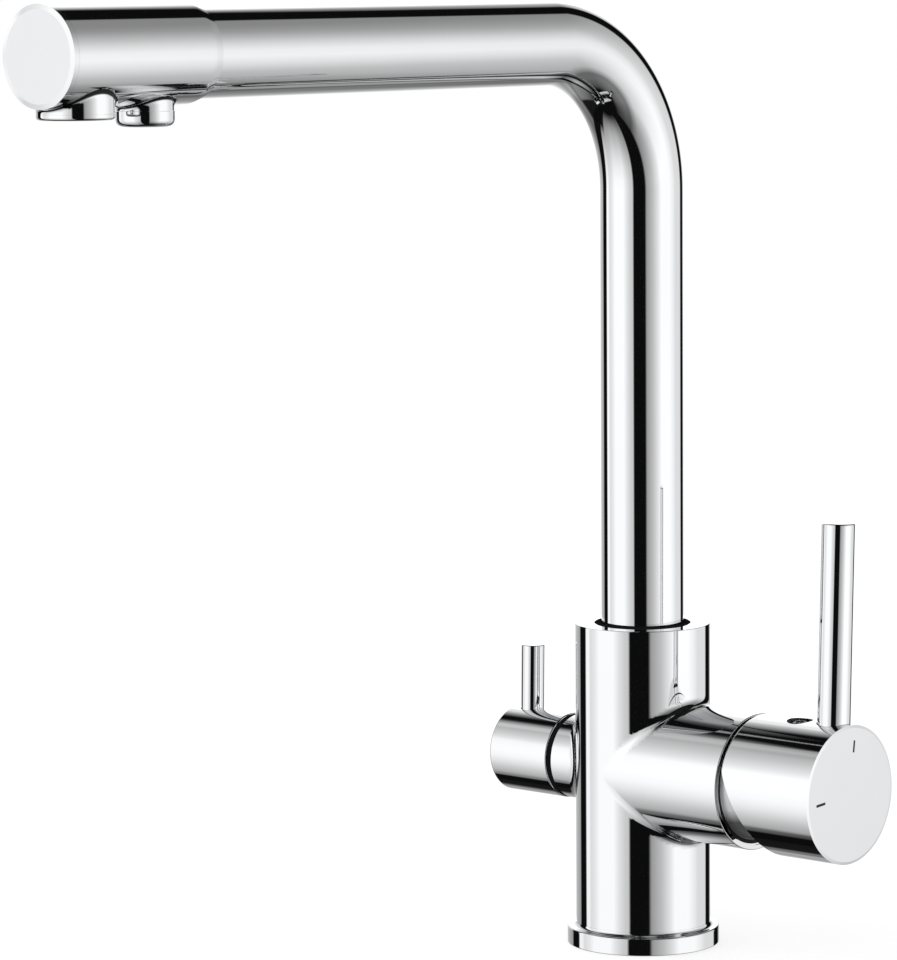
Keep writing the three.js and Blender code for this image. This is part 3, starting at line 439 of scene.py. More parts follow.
def moulded_finish(name, colour, dark, rough, grain_scale=1500.0, grain=0.12, shine=0.5):
    """Moulded plastic, rubber or pressed ceramic: slight mottling, fine grain and handling marks."""
    material, g, place = start_material(name)
    mottle = g.noise(place, 90.0, 4.0, 0.55)
    pores = g.noise(place, grain_scale, 3.0, 0.6)
    shade = g.ramp(mottle, [(0.3, dark), (0.65, colour)])
    roughness = g.math("ADD", g.spread(mottle, 0.3, 0.75, rough - 0.05, rough + 0.08),
                       g.math("MULTIPLY", pores, 0.08))
    bump = g.node("Bump", {"Strength": grain, "Distance": 0.0002, "Height": pores}).outputs[0]
    end_material(g, {"Base Color": shade, "Roughness": roughness, "Normal": bump,
                     "Specular IOR Level": shine})
    return material


SLOT_FINISH = {
    "chrome": chrome_finish("polished_chrome"),
    "brass": machined_finish("turned_brass", (0.76, 0.62, 0.32), (0.58, 0.45, 0.2), 0.24),
    "steel": machined_finish("dark_steel", (0.42, 0.43, 0.45), (0.24, 0.25, 0.27), 0.26),
    "rubber": moulded_finish("sealing_rubber", (0.012, 0.012, 0.013), (0.007, 0.007, 0.008), 0.55, shine=0.0),
    "black_plastic": moulded_finish("black_plastic", (0.008, 0.008, 0.009), (0.005, 0.005, 0.006), 0.42,
                                    shine=0.0),
    "white_plastic": moulded_finish("white_plastic", (0.78, 0.78, 0.76), (0.7, 0.7, 0.68), 0.38),
    "ceramic": moulded_finish("lapped_ceramic", (0.86, 0.85, 0.81), (0.78, 0.77, 0.73), 0.2, 4000.0, 0.05),
    "hose_plastic": moulded_finish("hose_plastic", (0.6, 0.66, 0.7), (0.5, 0.57, 0.62), 0.3),
}
chrome_cap = chrome_finish("polished_chrome_caps", (0.88, 0.885, 0.895), 0.05, 0.04)
# Satin chrome for the dome, with painted shade on its lower side.
dome_chrome_shaded_below = chrome_finish("satin_chrome_shaded_below", (0.86, 0.865, 0.875), 0.3, 0.1, 0.5, dome_underside_shade)
# The head's chrome, with painted shade in the seams round its bosses.
chrome_head = chrome_finish("polished_chrome_head_seam_shaded", shaded=outlet_seam_shade)
# The unplated insides of the castings, coloured near-black: painted shade in the hollows.
shaded_raw_cast = machined_finish("raw_casting", (0.06, 0.056, 0.05), (0.03, 0.028, 0.025), 0.55)
ink = moulded_finish("engraving_paint", (0.008, 0.008, 0.009), (0.004, 0.004, 0.005), 0.5)

for part in frame["record"]["subparts"]:
    cad_mesh = frame["nodes"][part["node"]].data
    cad_mesh.materials.clear()
    cad_mesh.materials.append(SLOT_FINISH[part["material_slot"]])

# ---- forms and cuts

ROUND_STEPS = 6
SAME_WAY = 0.93
FAR_OFF = 1e9


def unit(vector):
    return vector / np.linalg.norm(vector)


def away(points, axis, at):
    """The direction and the distance of points from an axis."""
    offset = points - at
    offset = offset - np.outer(offset @ axis, axis)
    reach = np.maximum(np.linalg.norm(offset, axis=1), 1e-9)
    return offset / reach[:, None], reach


def spans_of(corners):
    """
    Splits an outline of corners (radius, height, round) into short spans, each with the outward normal at
    both of its ends. The outline has its material on the left, and may start and end on the axis.
    """
    points = [np.array(corner[:2], float) for corner in corners]
    count = len(points)
    closed = not (points[0][0] == 0 and points[-1][0] == 0)

    def normal(a, b):
        along = unit(b - a)
        return np.array([along[1], -along[0]])

    entries, exits, arcs = [], [], []
    for i, corner in enumerate(corners):
        round_ = corner[2] if len(corner) > 2 else 0
        here = points[i]
        if not round_:
            entries.append(here)
            exits.append(here)
            arcs.append([])
            continue
        before, after = points[i - 1], points[(i + 1) % count]
        back, on = unit(before - here), unit(after - here)
        half = math.acos(np.clip(back @ on, -1, 1)) / 2
        centre = here + unit(back + on) * round_ / math.sin(half)
        reach = round_ / math.tan(half)
        start, end = here + back * reach - centre, here + on * reach - centre
        sweep = math.atan2(start[0] * end[1] - start[1] * end[0], start @ end)
        side = 1 if start @ normal(before, here) > 0 else -1
        ring = []
        for k in range(ROUND_STEPS + 1):
            a = sweep * k / ROUND_STEPS
            turned = np.array([start[0] * math.cos(a) - start[1] * math.sin(a),
                               start[0] * math.sin(a) + start[1] * math.cos(a)])
            ring.append((centre + turned, side * turned / round_))
        entries.append(ring[0][0])
        exits.append(ring[-1][0])
        arcs.append([(p, n, q, m) for (p, n), (q, m) in zip(ring, ring[1:])])
    spans = []
    for i in range(count):
        spans += arcs[i]
        if i == count - 1 and not closed:
            break
        a, b = exits[i], entries[(i + 1) % count]
        if np.linalg.norm(b - a) > 1e-6:
            n = normal(a, b)
            spans.append((a, n, b, n))
    return spans


# Where the swing of normals starts, is full, starts to fade and ends, in degrees from the spout's side
SWING_FROM, SWING_FULL, SWING_FADES, SWING_TO = -10.0, 30.0, 135.0, 195.0


def swung(outward, swing):
    """
    Turns outward directions about the upright by up to a swing in degrees: fully on the mixer's side of the
    front, and not at all on the far left. It stands for softboxes that are near to the end of the spout.
    """
    if not swing:
        return outward
    azimuth = np.degrees(np.arctan2(outward[:, 0], -outward[:, 1]))
    rise = np.clip((azimuth - SWING_FROM) / (SWING_FULL - SWING_FROM), 0, 1)
    fall = np.clip((SWING_TO - azimuth) / (SWING_TO - SWING_FADES), 0, 1)
    angle = np.radians(swing * rise * fall)[:, None]
    return outward * np.cos(angle) + np.cross(Z, outward) * np.sin(angle)


def calm(lathe, low, high, share):
    """Lessens the lean of the normals between two heights, so that a slope there shows only faintly."""
    for index, (p, n, q, m) in enumerate(lathe.spans):
        if low <= min(p[1], q[1]) and max(p[1], q[1]) <= high and abs(n[0]) > 0.5:
            n, m = (unit(np.array([e[0], e[1] * share])) for e in (n, m))
            lathe.spans[index] = (p, n, q, m)
    return lathe


class Lathe:
    """A round solid about an axis through a point, with its exact normals."""

    def __init__(self, corners, axis=Z, at=(0, 0, 0), count=128, swing=0):
        self.spans = spans_of(corners)
        self.swing = swing
        self.axis = np.array(axis, float)
        self.at = np.array(at, float)
        self.count = count
        helper = Z if abs(self.axis[2]) < 0.9 else X
        self.u = unit(np.cross(helper, self.axis))
        self.v = np.cross(self.axis, self.u)

    def mesh(self):
        """Corners, faces and the normal at each face's corners."""
        turns = 2 * math.pi * np.arange(self.count) / self.count
        out = np.outer(np.cos(turns), self.u) + np.outer(np.sin(turns), self.v)
        verts, faces, normals, rows = [], [], [], {}
        leaning = swung(out, self.swing)

        def row(point):
            key = (round(point[0], 5), round(point[1], 5))
            if key not in rows:
                rows[key] = len(verts)
                middle = self.at + point[1] * self.axis
                verts.extend([middle] if point[0] < 1e-9 else middle + point[0] * out)
            return rows[key], point[0] < 1e-9

        for p, n, q, m in self.spans:
            (a, a_pole), (b, b_pole) = row(p), row(q)
            for k in range(self.count):
                k2 = (k + 1) % self.count
                n1, n2 = (n[0] * leaning[j] + n[1] * self.axis for j in (k, k2))
                m1, m2 = (m[0] * leaning[j] + m[1] * self.axis for j in (k, k2))
                if a_pole:
                    faces.append((a, b + k2, b + k))
                    normals += [n[1] * self.axis, m2, m1]
                elif b_pole:
                    faces.append((a + k, a + k2, b))
                    normals += [n1, n2, m[1] * self.axis]
                else:
                    faces.append((a + k, a + k2, b + k2, b + k))
                    normals += [n1, n2, m2, m1]
        return verts, faces, normals

    def flatten(self, points):
        """Each point's direction from the axis, and its radius and height."""
        outward, radius = away(points, self.axis, self.at)
        return outward, np.stack([radius, (points - self.at) @ self.axis], 1)

    def fit(self, centres, facing):
        """How far each face's centre is from the nearest span that faces the same way, and which it is."""
        outward, flat = self.flatten(centres)
        slope = np.stack([(facing * outward).sum(1), facing @ self.axis], 1)
        best = np.full(len(centres), FAR_OFF)
        which = np.zeros(len(centres), int)
        for index, (p, n, q, m) in enumerate(self.spans):
            along = q - p
            t = np.clip(((flat - p) @ along) / (along @ along), 0, 1)
            gap = np.linalg.norm(flat - p - t[:, None] * along, axis=1)
            middle = n + t[:, None] * (m - n)
            match = np.abs((slope * middle).sum(1)) / np.linalg.norm(middle, axis=1)
            gap = np.where(match > SAME_WAY, gap, FAR_OFF)
            closer = gap < best
            best[closer] = gap[closer]
            which[closer] = index
        return best, which

    def normals_at(self, points, which, facing):
        """The exact normals at points on the given spans, on the side that their faces look to."""
        outward, flat = self.flatten(points)
        table = np.array([[*p, *n, *q, *m] for p, n, q, m in self.spans])[which]
        start, n, end, m = table[:, 0:2], table[:, 2:4], table[:, 4:6], table[:, 6:8]
        along = end - start
        t = np.clip(((flat - start) * along).sum(1) / (along * along).sum(1), 0, 1)[:, None]
        slope = n + t * (m - n)
        outward = swung(outward, self.swing)
        normal = slope[:, :1] * outward + slope[:, 1:] * self.axis
        normal /= np.linalg.norm(normal, axis=1)[:, None]
        return normal * np.sign((normal * facing).sum(1))[:, None]


UNTURNED = Matrix.Identity(4)


class Block:
    """A box given by its lowest and highest corner, which may then be turned and moved."""

    def __init__(self, low, high, turn=UNTURNED):
        self.low, self.high, self.turn = low, high, turn

    def mesh(self):
        low, high = self.low, self.high
        corners = [(x, y, z) for x in (low[0], high[0]) for y in (low[1], high[1]) for z in (low[2], high[2])]
        corners = [tuple(self.turn @ Vector(corner)) for corner in corners]
        faces = [(0, 1, 3, 2), (4, 6, 7, 5), (0, 4, 5, 1), (2, 3, 7, 6), (0, 2, 6, 4), (1, 5, 7, 3)]
        return corners, faces, None


DRAW_STEPS = 6


class Blend:
    """
    A round bar with round limbs that stand out of it, run together in soft fillets. The bar and each limb
    are given as (radius, axis, point on the axis, swing), and a limb starts at its point.
    """

    def __init__(self, bar, limbs, low, high, fillet, step):
        self.bar, self.limbs = bar, limbs
        self.low, self.high = np.array(low), np.array(high)
        self.fillet, self.step = fillet, step

    def field(self, points):
        """About the distance from the surface, less than nothing inside it."""
        bar_out, reach = away(points, *self.bar[1:3])
        whole = reach - self.bar[0]
        for radius, axis, at, _ in self.limbs:
            out, reach = away(points, axis, at)
            limb = np.maximum(reach - radius, -(points - at) @ axis)
            along = (bar_out * out).sum(1)
            fillet = self.fillet * np.clip(1 - along ** 2, 0, 1)
            near = np.hypot(np.maximum(fillet - whole, 0), np.maximum(fillet - limb, 0))
            whole = np.maximum(fillet, np.minimum(whole, limb)) - near
        outside = np.max(np.concatenate([points - self.high, self.low - points], 1), axis=1) + 1.0
        return np.maximum(whole, outside)

    def normals(self, points):
        """The normals that the surface shows, with the swing of each limb."""
        normals = self.slope(points)
        clear = away(points, *self.bar[1:3])[1] - self.bar[0]
        for radius, axis, at, swing in self.limbs:
            if not swing:
                continue
            reach = away(points, axis, at)[1]
            share = np.clip(clear / self.fillet, 0, 1) * (np.abs(reach - radius) < self.fillet)
            turned = swung(normals, swing)
            normals = normals + share[:, None] * (turned - normals)
        return normals / np.linalg.norm(normals, axis=1)[:, None]

    def slope(self, points):
        e = 0.01
        parts = [self.field(points + e * axis) - self.field(points - e * axis) for axis in (X, Y, Z)]
        slope = np.stack(parts, 1)
        return slope / np.maximum(np.linalg.norm(slope, axis=1), 1e-12)[:, None]

    def mesh(self):
        """One corner for each small cube that the surface passes through, drawn onto the surface."""
        step = self.step
        counts = np.ceil((self.high - self.low) / step).astype(int) + 1
        lines = [self.low[i] + step * np.arange(counts[i]) for i in range(3)]
        lattice = np.stack(np.meshgrid(*lines, indexing="ij"), -1)
        inside = (self.field(lattice.reshape(-1, 3)) < 0).reshape(counts)
        cubes = counts - 1
        filled = np.zeros(cubes, int)
        for i, j, k in np.ndindex(2, 2, 2):
            filled += inside[i:i + cubes[0], j:j + cubes[1], k:k + cubes[2]]
        crossed = (filled > 0) & (filled < 8)
        number = np.full(cubes, -1)
        number[crossed] = np.arange(crossed.sum())
        points = lattice[:-1, :-1, :-1][crossed] + step / 2
        for _ in range(DRAW_STEPS):
            points = points - np.clip(self.field(points), -step, step)[:, None] * self.slope(points)
        faces = []
        for axis in range(3):
            u, v = (axis + 1) % 3, (axis + 2) % 3
            ahead = np.roll(inside, -1, axis)
            for leaving in (True, False):
                edges = (inside & ~ahead) if leaving else (~inside & ahead)
                at = np.argwhere(edges)
                at = at[(at[:, axis] < cubes[axis]) & (at[:, u] > 0) & (at[:, v] > 0)
                        & (at[:, u] < cubes[u]) & (at[:, v] < cubes[v])]
                quad = []
                for du, dv in ((-1, -1), (0, -1), (0, 0), (-1, 0)):
                    cell = at.copy()
                    cell[:, u] += du
                    cell[:, v] += dv
                    quad.append(number[cell[:, 0], cell[:, 1], cell[:, 2]])
                quad = np.stack(quad if leaving else quad[::-1], 1)
                faces += quad.tolist()
        return points.tolist(), faces, None


def mesh_object(name, form):
    verts, faces, normals = form.mesh()
    made = new_object(name, [tuple(v) for v in verts], faces)
    if normals is not None:
        made.data.shade_smooth()
        made.data.normals_split_custom_set([tuple(n) for n in normals])
    return made


def carve(name, base, removed):
    """Cuts forms out of a base, then gives each face the exact normals of the round form it comes from."""
    made = mesh_object(name, base)
    tools = [mesh_object(name + "_tool", form) for form in removed]
    for tool in tools:
        step = made.modifiers.new("cut", "BOOLEAN")
        step.operation = "DIFFERENCE"
        step.solver = "EXACT"
        step.object = tool
    bpy.context.view_layer.update()
    shape = made.evaluated_get(bpy.context.evaluated_depsgraph_get())
    mesh = bpy.data.meshes.new_from_object(shape)
    made.modifiers.clear()
    old = made.data
    made.data = mesh
    bpy.data.meshes.remove(old)
    for tool in tools:
        used = tool.data
        bpy.data.objects.remove(tool)
        bpy.data.meshes.remove(used)
    lathes = [form for form in (base, *removed) if isinstance(form, Lathe)]
    set_exact_normals(mesh, lathes, base if isinstance(base, Blend) else None)
    return made


class Solid:
    """A carved mesh that is used as a tool for a further cut."""

    def __init__(self, made):
        mesh = made.data
        self.verts = [tuple(v.co) for v in mesh.vertices]
        self.faces = [tuple(p.vertices) for p in mesh.polygons]
        bpy.data.objects.remove(made)
        bpy.data.meshes.remove(mesh)

    def mesh(self):
        return self.verts, self.faces, None


# The furthest that a face's centre may lie from the lathe, or the blend, whose normals it takes
FIT = 0.08
BLEND_FIT = 0.3
MERGE_WITHIN = 1e-4


def values_of(collection, field):
    """One whole number for each element of a mesh's collection."""
    values = np.zeros(len(collection), int)
    collection.foreach_get(field, values)
    return values


def vectors_of(collection, field):
    values = np.zeros(len(collection) * 3)
    collection.foreach_get(field, values)
    return values.reshape(-1, 3)


def set_exact_normals(mesh, lathes, blend=None):
    """Matches each face to the form that it lies on, and takes that form's normals at its corners."""
    cleaned = bmesh.new()
    cleaned.from_mesh(mesh)
    bmesh.ops.remove_doubles(cleaned, verts=cleaned.verts, dist=MERGE_WITHIN)
    bmesh.ops.dissolve_degenerate(cleaned, dist=MERGE_WITHIN, edges=cleaned.edges)
    cleaned.to_mesh(mesh)
    cleaned.free()
    faces = len(mesh.polygons)
    facing = vectors_of(mesh.polygons, "normal")
    centres = vectors_of(mesh.polygons, "center")
    points = vectors_of(mesh.vertices, "co")
    corner = values_of(mesh.loops, "vertex_index")
    owner = np.repeat(np.arange(faces), values_of(mesh.polygons, "loop_total"))
    best = np.full(faces, FIT)
    lathe_of = np.full(faces, -1)
    span_of = np.zeros(faces, int)
    for index, lathe in enumerate(lathes):
        gap, which = lathe.fit(centres, facing)
        closer = gap < best
        best[closer] = gap[closer]
        lathe_of[closer] = index
        span_of[closer] = which[closer]
    normals = facing[owner]
    for index, lathe in enumerate(lathes):
        mine = lathe_of[owner] == index
        if mine.any():
            own = owner[mine]
            normals[mine] = lathe.normals_at(points[corner[mine]], span_of[own], facing[own])
    if blend is not None:
        skin = (lathe_of == -1) & (np.abs(blend.field(centres)) < BLEND_FIT)
        mine = skin[owner]
        normals[mine] = blend.normals(points[corner[mine]])
    mesh.shade_smooth()
    mesh.normals_split_custom_set(normals.tolist())


def darken_inside(made, finish, inside):
    """Gives another finish to the faces whose centres (in millimetres) lie inside a hollow; with the
    near-black casting finish this is painted shade.
    """
    mesh = made.data
    mesh.materials.append(finish)
    for polygon in mesh.polygons:
        if inside(*(polygon.center / MM)):
            polygon.material_index = 1


ARM_PLACE = Matrix.Translation((0, 0, ARM))
MIXER_PLACE = ARM_PLACE @ Matrix.Rotation(MIXER_TURN, 4, "X")
FILTER_PLACE = ARM_PLACE @ Matrix.Rotation(FILTER_TURN, 4, "X")


def place(made, body, node, slot, turn=UNTURNED, finish=None):
    """Scales a finished piece to metres, puts it in its group's place and hands it to the frame."""
    matrix = Matrix.Scale(MM, 4) @ turn
    mesh = made.data
    normals = vectors_of(mesh.corner_normals, "vector")
    rotation = np.array(matrix.to_3x3().normalized())
    mesh.transform(matrix)
    mesh.normals_split_custom_set((normals @ rotation.T).tolist())
    mesh.materials.clear()
    mesh.materials.append(finish or SLOT_FINISH[slot])
    for polygon in mesh.polygons:
        polygon.material_index = 0
    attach(made, body)
    if node:
        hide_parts(node)
    return made


def rod(radius, start, end, axis=Z, at=(0, 0, 0), count=64, edge=0.0):
    """A round bar from start to end along an axis through a point, with rounded edges."""
    corners = [(0, start), (radius, start, edge), (radius, end, edge), (0, end)]
    return Lathe(corners, axis, at, count)


def set_screw(name, radius, tip, tip_length, start, end, axis, at):
    """Set screw with a point, a chamfered head and a hexagon socket."""
    shank = Lathe([
        (0, start), (tip, start, 0.1), (tip, start + tip_length), (radius, start + tip_length + radius - tip),
        (radius, end - 0.35), (radius - 0.35, end), (0, end),
    ], axis, at, 48)
    hexagon = rod(radius / math.sqrt(3), end - radius, end + 1, axis, at, 6)
    return carve(name, shank, [hexagon])


# ---- base and column

CLEAR_OF_CASTING = 45.0


def end_cutter(end, inner, outer, depth, edge, axis, at, count):
    """Cuts a bar off at its end, and takes its rim back outside the inner radius."""
    far, beyond = CLEAR_OF_CASTING, end + 20
    return Lathe([
        (0, end), (inner, end, edge), (outer, end - depth), (far, end - depth), (far, beyond), (0, beyond),
    ], axis, at, count)


def make_casting():
    at, base = (0, 0, ARM), (0, 0, 0)
    limbs = [(ARM_R, X, at, 0), (NECK_R, -X, at, 0)]
    outside = Blend((COLUMN_R, Z, at, 0), limbs, (-33.0, -26.0, -3.0), (55.0, 26.0, 115.0),
                    JUNCTION_FILLET, 1.1)
    top, seat, far = COLUMN_TOP, FLANGE_HEIGHT + 0.3, CLEAR_OF_CASTING
    below = Lathe([(0, -20), (far, -20), (far, seat), (19.0, seat), (19.0, 2.0), (0, 2.0)], count=192)
    socket = Lathe([
        (0, 83.5), (SOCKET_R, 83.5), (SOCKET_R, top - 3.5), (17.0, top - 3.5), (17.0, top - 0.8),
        (16.45, top - 0.8), (16.45, top + 1), (0, top + 1),
    ], count=160)
    chamber = Lathe([
        (0, 24.0), (CHAMBER_R, 24.0), (CHAMBER_R, 45.2), (20.6, 45.2), (20.6, 49.05), (19.5, 49.05),
        (19.5, 49.4), (LEDGE_R, 49.55), (MOUTH_R, 49.6), (MOUTH_R, 52.0), (0, 52.0),
    ], X, at, 160)
    filter_bore = rod(NECK_BORE_R, 12.0, 32.0, -X, at)
    screw_hole = rod(2.5, 0.0, 25.0, Y, (0, 0, SPOUT_SCREW_Z), 48)
    hose_hollow = rod(16.5, 1.0, 22.0, count=128)
    removed = [
        end_cutter(top, COLUMN_R - 0.1, COLUMN_R + 0.6, 1.6, 0.2, Z, base, 192),
        end_cutter(ARM_END, ARM_R - 0.1, ARM_R + 0.6, 2.0, 0.4, X, at, 192),
        end_cutter(NECK_END, NECK_R, NECK_R + 0.6, 2.4, 0.5, -X, at, 160),
        below,
        socket,
        chamber,
        filter_bore,
        screw_hole,
        hose_hollow,
        *(rod(STUD_HOLE_R, 21.0, 34.0, at=(-7, side * 10, 0), count=48) for side in (-1, 1)),
        *(rod(INLET_R, 21.0, 40.0, at=(9, side * 6.5, 0), count=48) for side in (-1, 1)),
        rod(INLET_R, 21.0, 40.0, at=(-6, 0, 0), count=48),
    ]
    made = carve("tap_casting", outside, removed)
    place(made, "tap_body", "body", "chrome")

    def inside(x, y, z):
        from_axis = math.hypot(y, z - ARM)
        in_arm = 20.0 < x < 49.7 and from_axis < (MOUTH_R + 0.1 if x < 49.3 else LEDGE_R)
        in_neck = x < -14.0 and from_axis < NECK_BORE_R + 0.2
        in_column = math.hypot(x, y) < 17.05 and z < top - 0.5
        return in_arm or in_neck or in_column

    # The casting's bores, chamber, mouth ledge and socket get the near-black finish: painted shade.
    darken_inside(made, shaded_raw_cast, inside)


def make_base():
    high, foot = FLANGE_HEIGHT, COLUMN_R + 0.1
    ring = Lathe([
        (19.3, 0.0), (20.7, 0.0), (20.7, 1.7), (24.2, 1.7), (24.2, 0.0), (FLANGE_R, 0.0, 0.3),
        (FLANGE_R, high, 0.7), (foot, high, FOOT_FILLET), (foot, high + FOOT_FILLET + 0.1),
        (foot - 0.06, high + FOOT_FILLET + 0.1), (foot - 0.06, high), (19.3, high),
    ], count=192)
    place(mesh_object("base_ring", ring), "tap_body", "base_flange", "chrome")
    seal = Lathe([(21.0, 0.0, 0.3), (23.9, 0.0, 0.3), (23.9, 1.4), (21.0, 1.4)], count=128)
    place(mesh_object("base_seal", seal), "tap_body", "base_gasket", "rubber")


# ---- spout


class Sweep:
    """A pipe along the spout's path: up the column, round the bend and out along -Y."""

    def __init__(self, foot, reach, radius, bore, turns=48, count=128):
        self.stations = [(0.0, foot, 0.0)]
        for k in range(turns + 1):
            a = math.pi / 2 * k / turns
            self.stations.append((-BEND_R * (1 - math.cos(a)), SPOUT_Z - BEND_R * (1 - math.sin(a)), a))
        self.stations.append((-reach, SPOUT_Z, math.pi / 2))
        self.radius, self.bore, self.count = radius, bore, count

    def mesh(self):
        """The outer wall's rings from foot to end, and then the bore's rings from end to foot."""
        rings = [(*station, self.radius, 1.0) for station in self.stations]
        rings += [(*station, self.bore, -1.0) for station in reversed(self.stations)]
        verts, faces, normals = [], [], []
        turns = [2 * math.pi * k / self.count for k in range(self.count)]

        def direction(a, t):
            return np.array([math.cos(t), math.sin(t) * math.cos(a), math.sin(t) * math.sin(a)])

        for y, z, a, radius, _ in rings:
            for t in turns:
                verts.append(np.array([0, y, z]) + radius * direction(a, t))
        total = len(rings)
        for row in range(total):
            after = (row + 1) % total
            is_wall = rings[row][4] == rings[after][4]
            rim = -Y if row < total - 1 else -Z
            for k in range(self.count):
                k2 = (k + 1) % self.count
                corners = ((row, k), (row, k2), (after, k2), (after, k))
                faces.append(tuple(ring * self.count + turn for ring, turn in corners))
                for ring, turn in corners:
                    _, _, a, _, side = rings[ring]
                    normals.append(side * direction(a, turns[turn]) if is_wall else rim)
        return verts, faces, normals


def make_spout():
    tube = mesh_object("spout_gooseneck", Sweep(TUBE_FOOT, TUBE_END, TUBE_R, TUBE_R - TUBE_WALL))
    place(tube, "spout", "spout_tube", "chrome")
    top = COLUMN_TOP
    ring = Lathe([
        (14.3, top - 2.6, 0.2), (16.7, top - 2.6, 0.2), (16.7, top - 0.9, 0.1), (14.3, top - 0.9, 0.1),
    ], count=160)
    place(mesh_object("swivel_glide_ring", ring), "tap_body", "spout_glide_ring", "white_plastic")
    lip = Lathe([
        (14.25, top - 0.88), (16.4, top - 0.88), (16.4, top - 0.1), (16.0, top + 0.3, 0.1),
        (14.25, top + 0.3, 0.1),
    ], count=160)
    place(mesh_object("swivel_wiper_lip", lip), "tap_body", None, "rubber")
    screw = set_screw("spout_set_screw", 2.2, 1.5, 2.1, 12.7, 21.8, Y, (0, 0, SPOUT_SCREW_Z))
    place(screw, "tap_body", "spout_grub_screw", "steel")


AT_SPOUT = (0, 0, SPOUT_Z)
AT_AERATOR = (0, AERATOR_Y, SPOUT_Z)
AT_NOZZLE = (0, NOZZLE_Y, SPOUT_Z)


def make_head():
    limbs = [(AERATOR_BOSS, -Z, AT_AERATOR, AERATOR_SWING), (NOZZLE_BOSS, -Z, AT_NOZZLE, NOZZLE_SWING)]
    outside = Blend((HEAD_R, -Y, AT_SPOUT, 0), limbs, (-17.5, -276.0, SPOUT_Z - 20.0),
                    (17.5, -208.0, SPOUT_Z + 17.5), HEAD_FILLET, 0.8)
    start, face, far = HEAD_START, HEAD_FACE, 30.0
    before = calm(Lathe([
        (0, start - 10), (far, start - 10), (far, start + 9), (HEAD_R + 0.03, start + 9),
        (HEAD_R + 0.03, start + 3.7, 7.0), (14.4, start, 0.05), (0, start),
    ], -Y, AT_SPOUT, 192), start, start + 9.1, SHOULDER_LEAN)
    bore = Lathe([
        (0, start - 9), (14.3, start - 9), (14.3, 221.7), (12.9, 221.7), (12.9, 267.3), (9.3, 267.3),
        (9.3, face + 9), (0, face + 9),
    ], -Y, AT_SPOUT, 160)
    beyond = rod(far, face, face + 10, -Y, AT_SPOUT)
    under_aerator = rod(18.0, -40.0, -17.0, Z, AT_AERATOR, 48)
    under_nozzle = rod(10.4, -40.0, -16.9, Z, AT_NOZZLE, 48)
    aerator_bore = rod(10.1, -41.0, -10.5, Z, AT_AERATOR, 96)
    nozzle_bore = rod(6.3, -41.0, -5.0, Z, AT_NOZZLE)
    removed = [before, beyond, bore, under_aerator, under_nozzle, aerator_bore, nozzle_bore]
    made = carve("outlet_head", outside, removed)
    # The head gets the chrome with the painted seam shade.
    place(made, "spout", "spout_sleeve", "chrome", finish=chrome_head)
    rim = HEAD_FACE + 0.04
    cap = Lathe([
        (0, 267.3), (9.0, 267.3, 0.3), (9.0, 268.95), (7.1, 268.95), (7.1, 271.45), (9.0, 271.45),
        (9.0, rim), (HEAD_R, rim), (HEAD_R, REACH - 0.36), (HEAD_R - 1.6, REACH), (0, REACH),
    ], -Y, AT_SPOUT, 192)
    place(mesh_object("head_end_cap", cap), "spout", "spout_end_cap", "chrome", finish=chrome_cap)


def grid(name, radius, height, hole, pitch, at):
    """A flow grid: a disc with holes in staggered rows."""
    base = rod(radius, 0.0, height, Z, at, 64, 0.15)
    margin = radius - hole - 0.6
    rows = int(margin / pitch) + 1
    holes = []
    for row in range(-rows, rows + 1):
        for column in range(-rows, rows + 1):
            x = (column + (0.5 if row % 2 else 0)) * pitch
            y = row * pitch * math.sqrt(0.75)
            if math.hypot(x, y) <= margin:
                holes.append(rod(hole, -1.0, height + 1, Z, (x, at[1] + y, at[2]), 16))
    return carve(name, base, holes)


def make_outlets():
    housing = Lathe([
        (7.6, -18.8, 0.2), (AERATOR_BOSS, -18.8, 1.0), (AERATOR_BOSS, -17.04), (9.8, -17.04), (9.8, -10.8),
        (8.4, -10.8), (8.4, -17.7), (7.6, -17.7),
    ], Z, AT_AERATOR, 128, AERATOR_SWING)
    place(mesh_object("aerator_shell", housing), "spout", "aerator_housing", "chrome")
    made = grid("aerator_grid", 8.1, 5.0, 0.75, 2.0, (0, AERATOR_Y, SPOUT_Z - 17.4))
    place(made, "spout", "aerator_insert", "white_plastic")
    shell = Lathe([
        (6.7, -21.6, 0.2), (8.9, -21.6, 2.1), (8.9, -16.95), (6.0, -16.95), (6.0, -8.0),
        (3.5, -8.0), (3.5, -18.2), (6.7, -18.2),
    ], Z, AT_NOZZLE, 128, NOZZLE_SWING)
    place(mesh_object("filter_nozzle_shell", shell), "spout", "filter_nozzle", "chrome")
    made = grid("filter_nozzle_grid", 6.4, 2.8, 0.55, 1.5, (0, NOZZLE_Y, SPOUT_Z - 21.3))
    place(made, "spout", "filter_nozzle_insert", "white_plastic")


# ---- mixer handle

SCREW_WAY = np.array([0.0, -math.sin(SCREW_LEAN), math.cos(SCREW_LEAN)])
AT_SCREW = (SCREW_X, 0, 0)
AT_LEVER = (LEVER_X, 0, 0)

# Each mark's turn from the top towards the front, in degrees, and how far from the axis it ends and starts
MARKS = ((-5.4, 18.1, 14.1), (96.0, 18.2, 13.4))
MARK_HALF_WIDTH = 0.45
MARK_DEPTH = 0.3
PAINT_DEPTH = 0.25


def mark_block(turn, out, inward, depth, proud=0.0):
    """The block of a mark on the handle's face, which stands proud of the face where it is a tool."""
    return Block((HANDLE_END - depth, -MARK_HALF_WIDTH, inward), (HANDLE_END + proud, MARK_HALF_WIDTH, out),
                 Matrix.Rotation(math.radians(turn), 4, "X"))


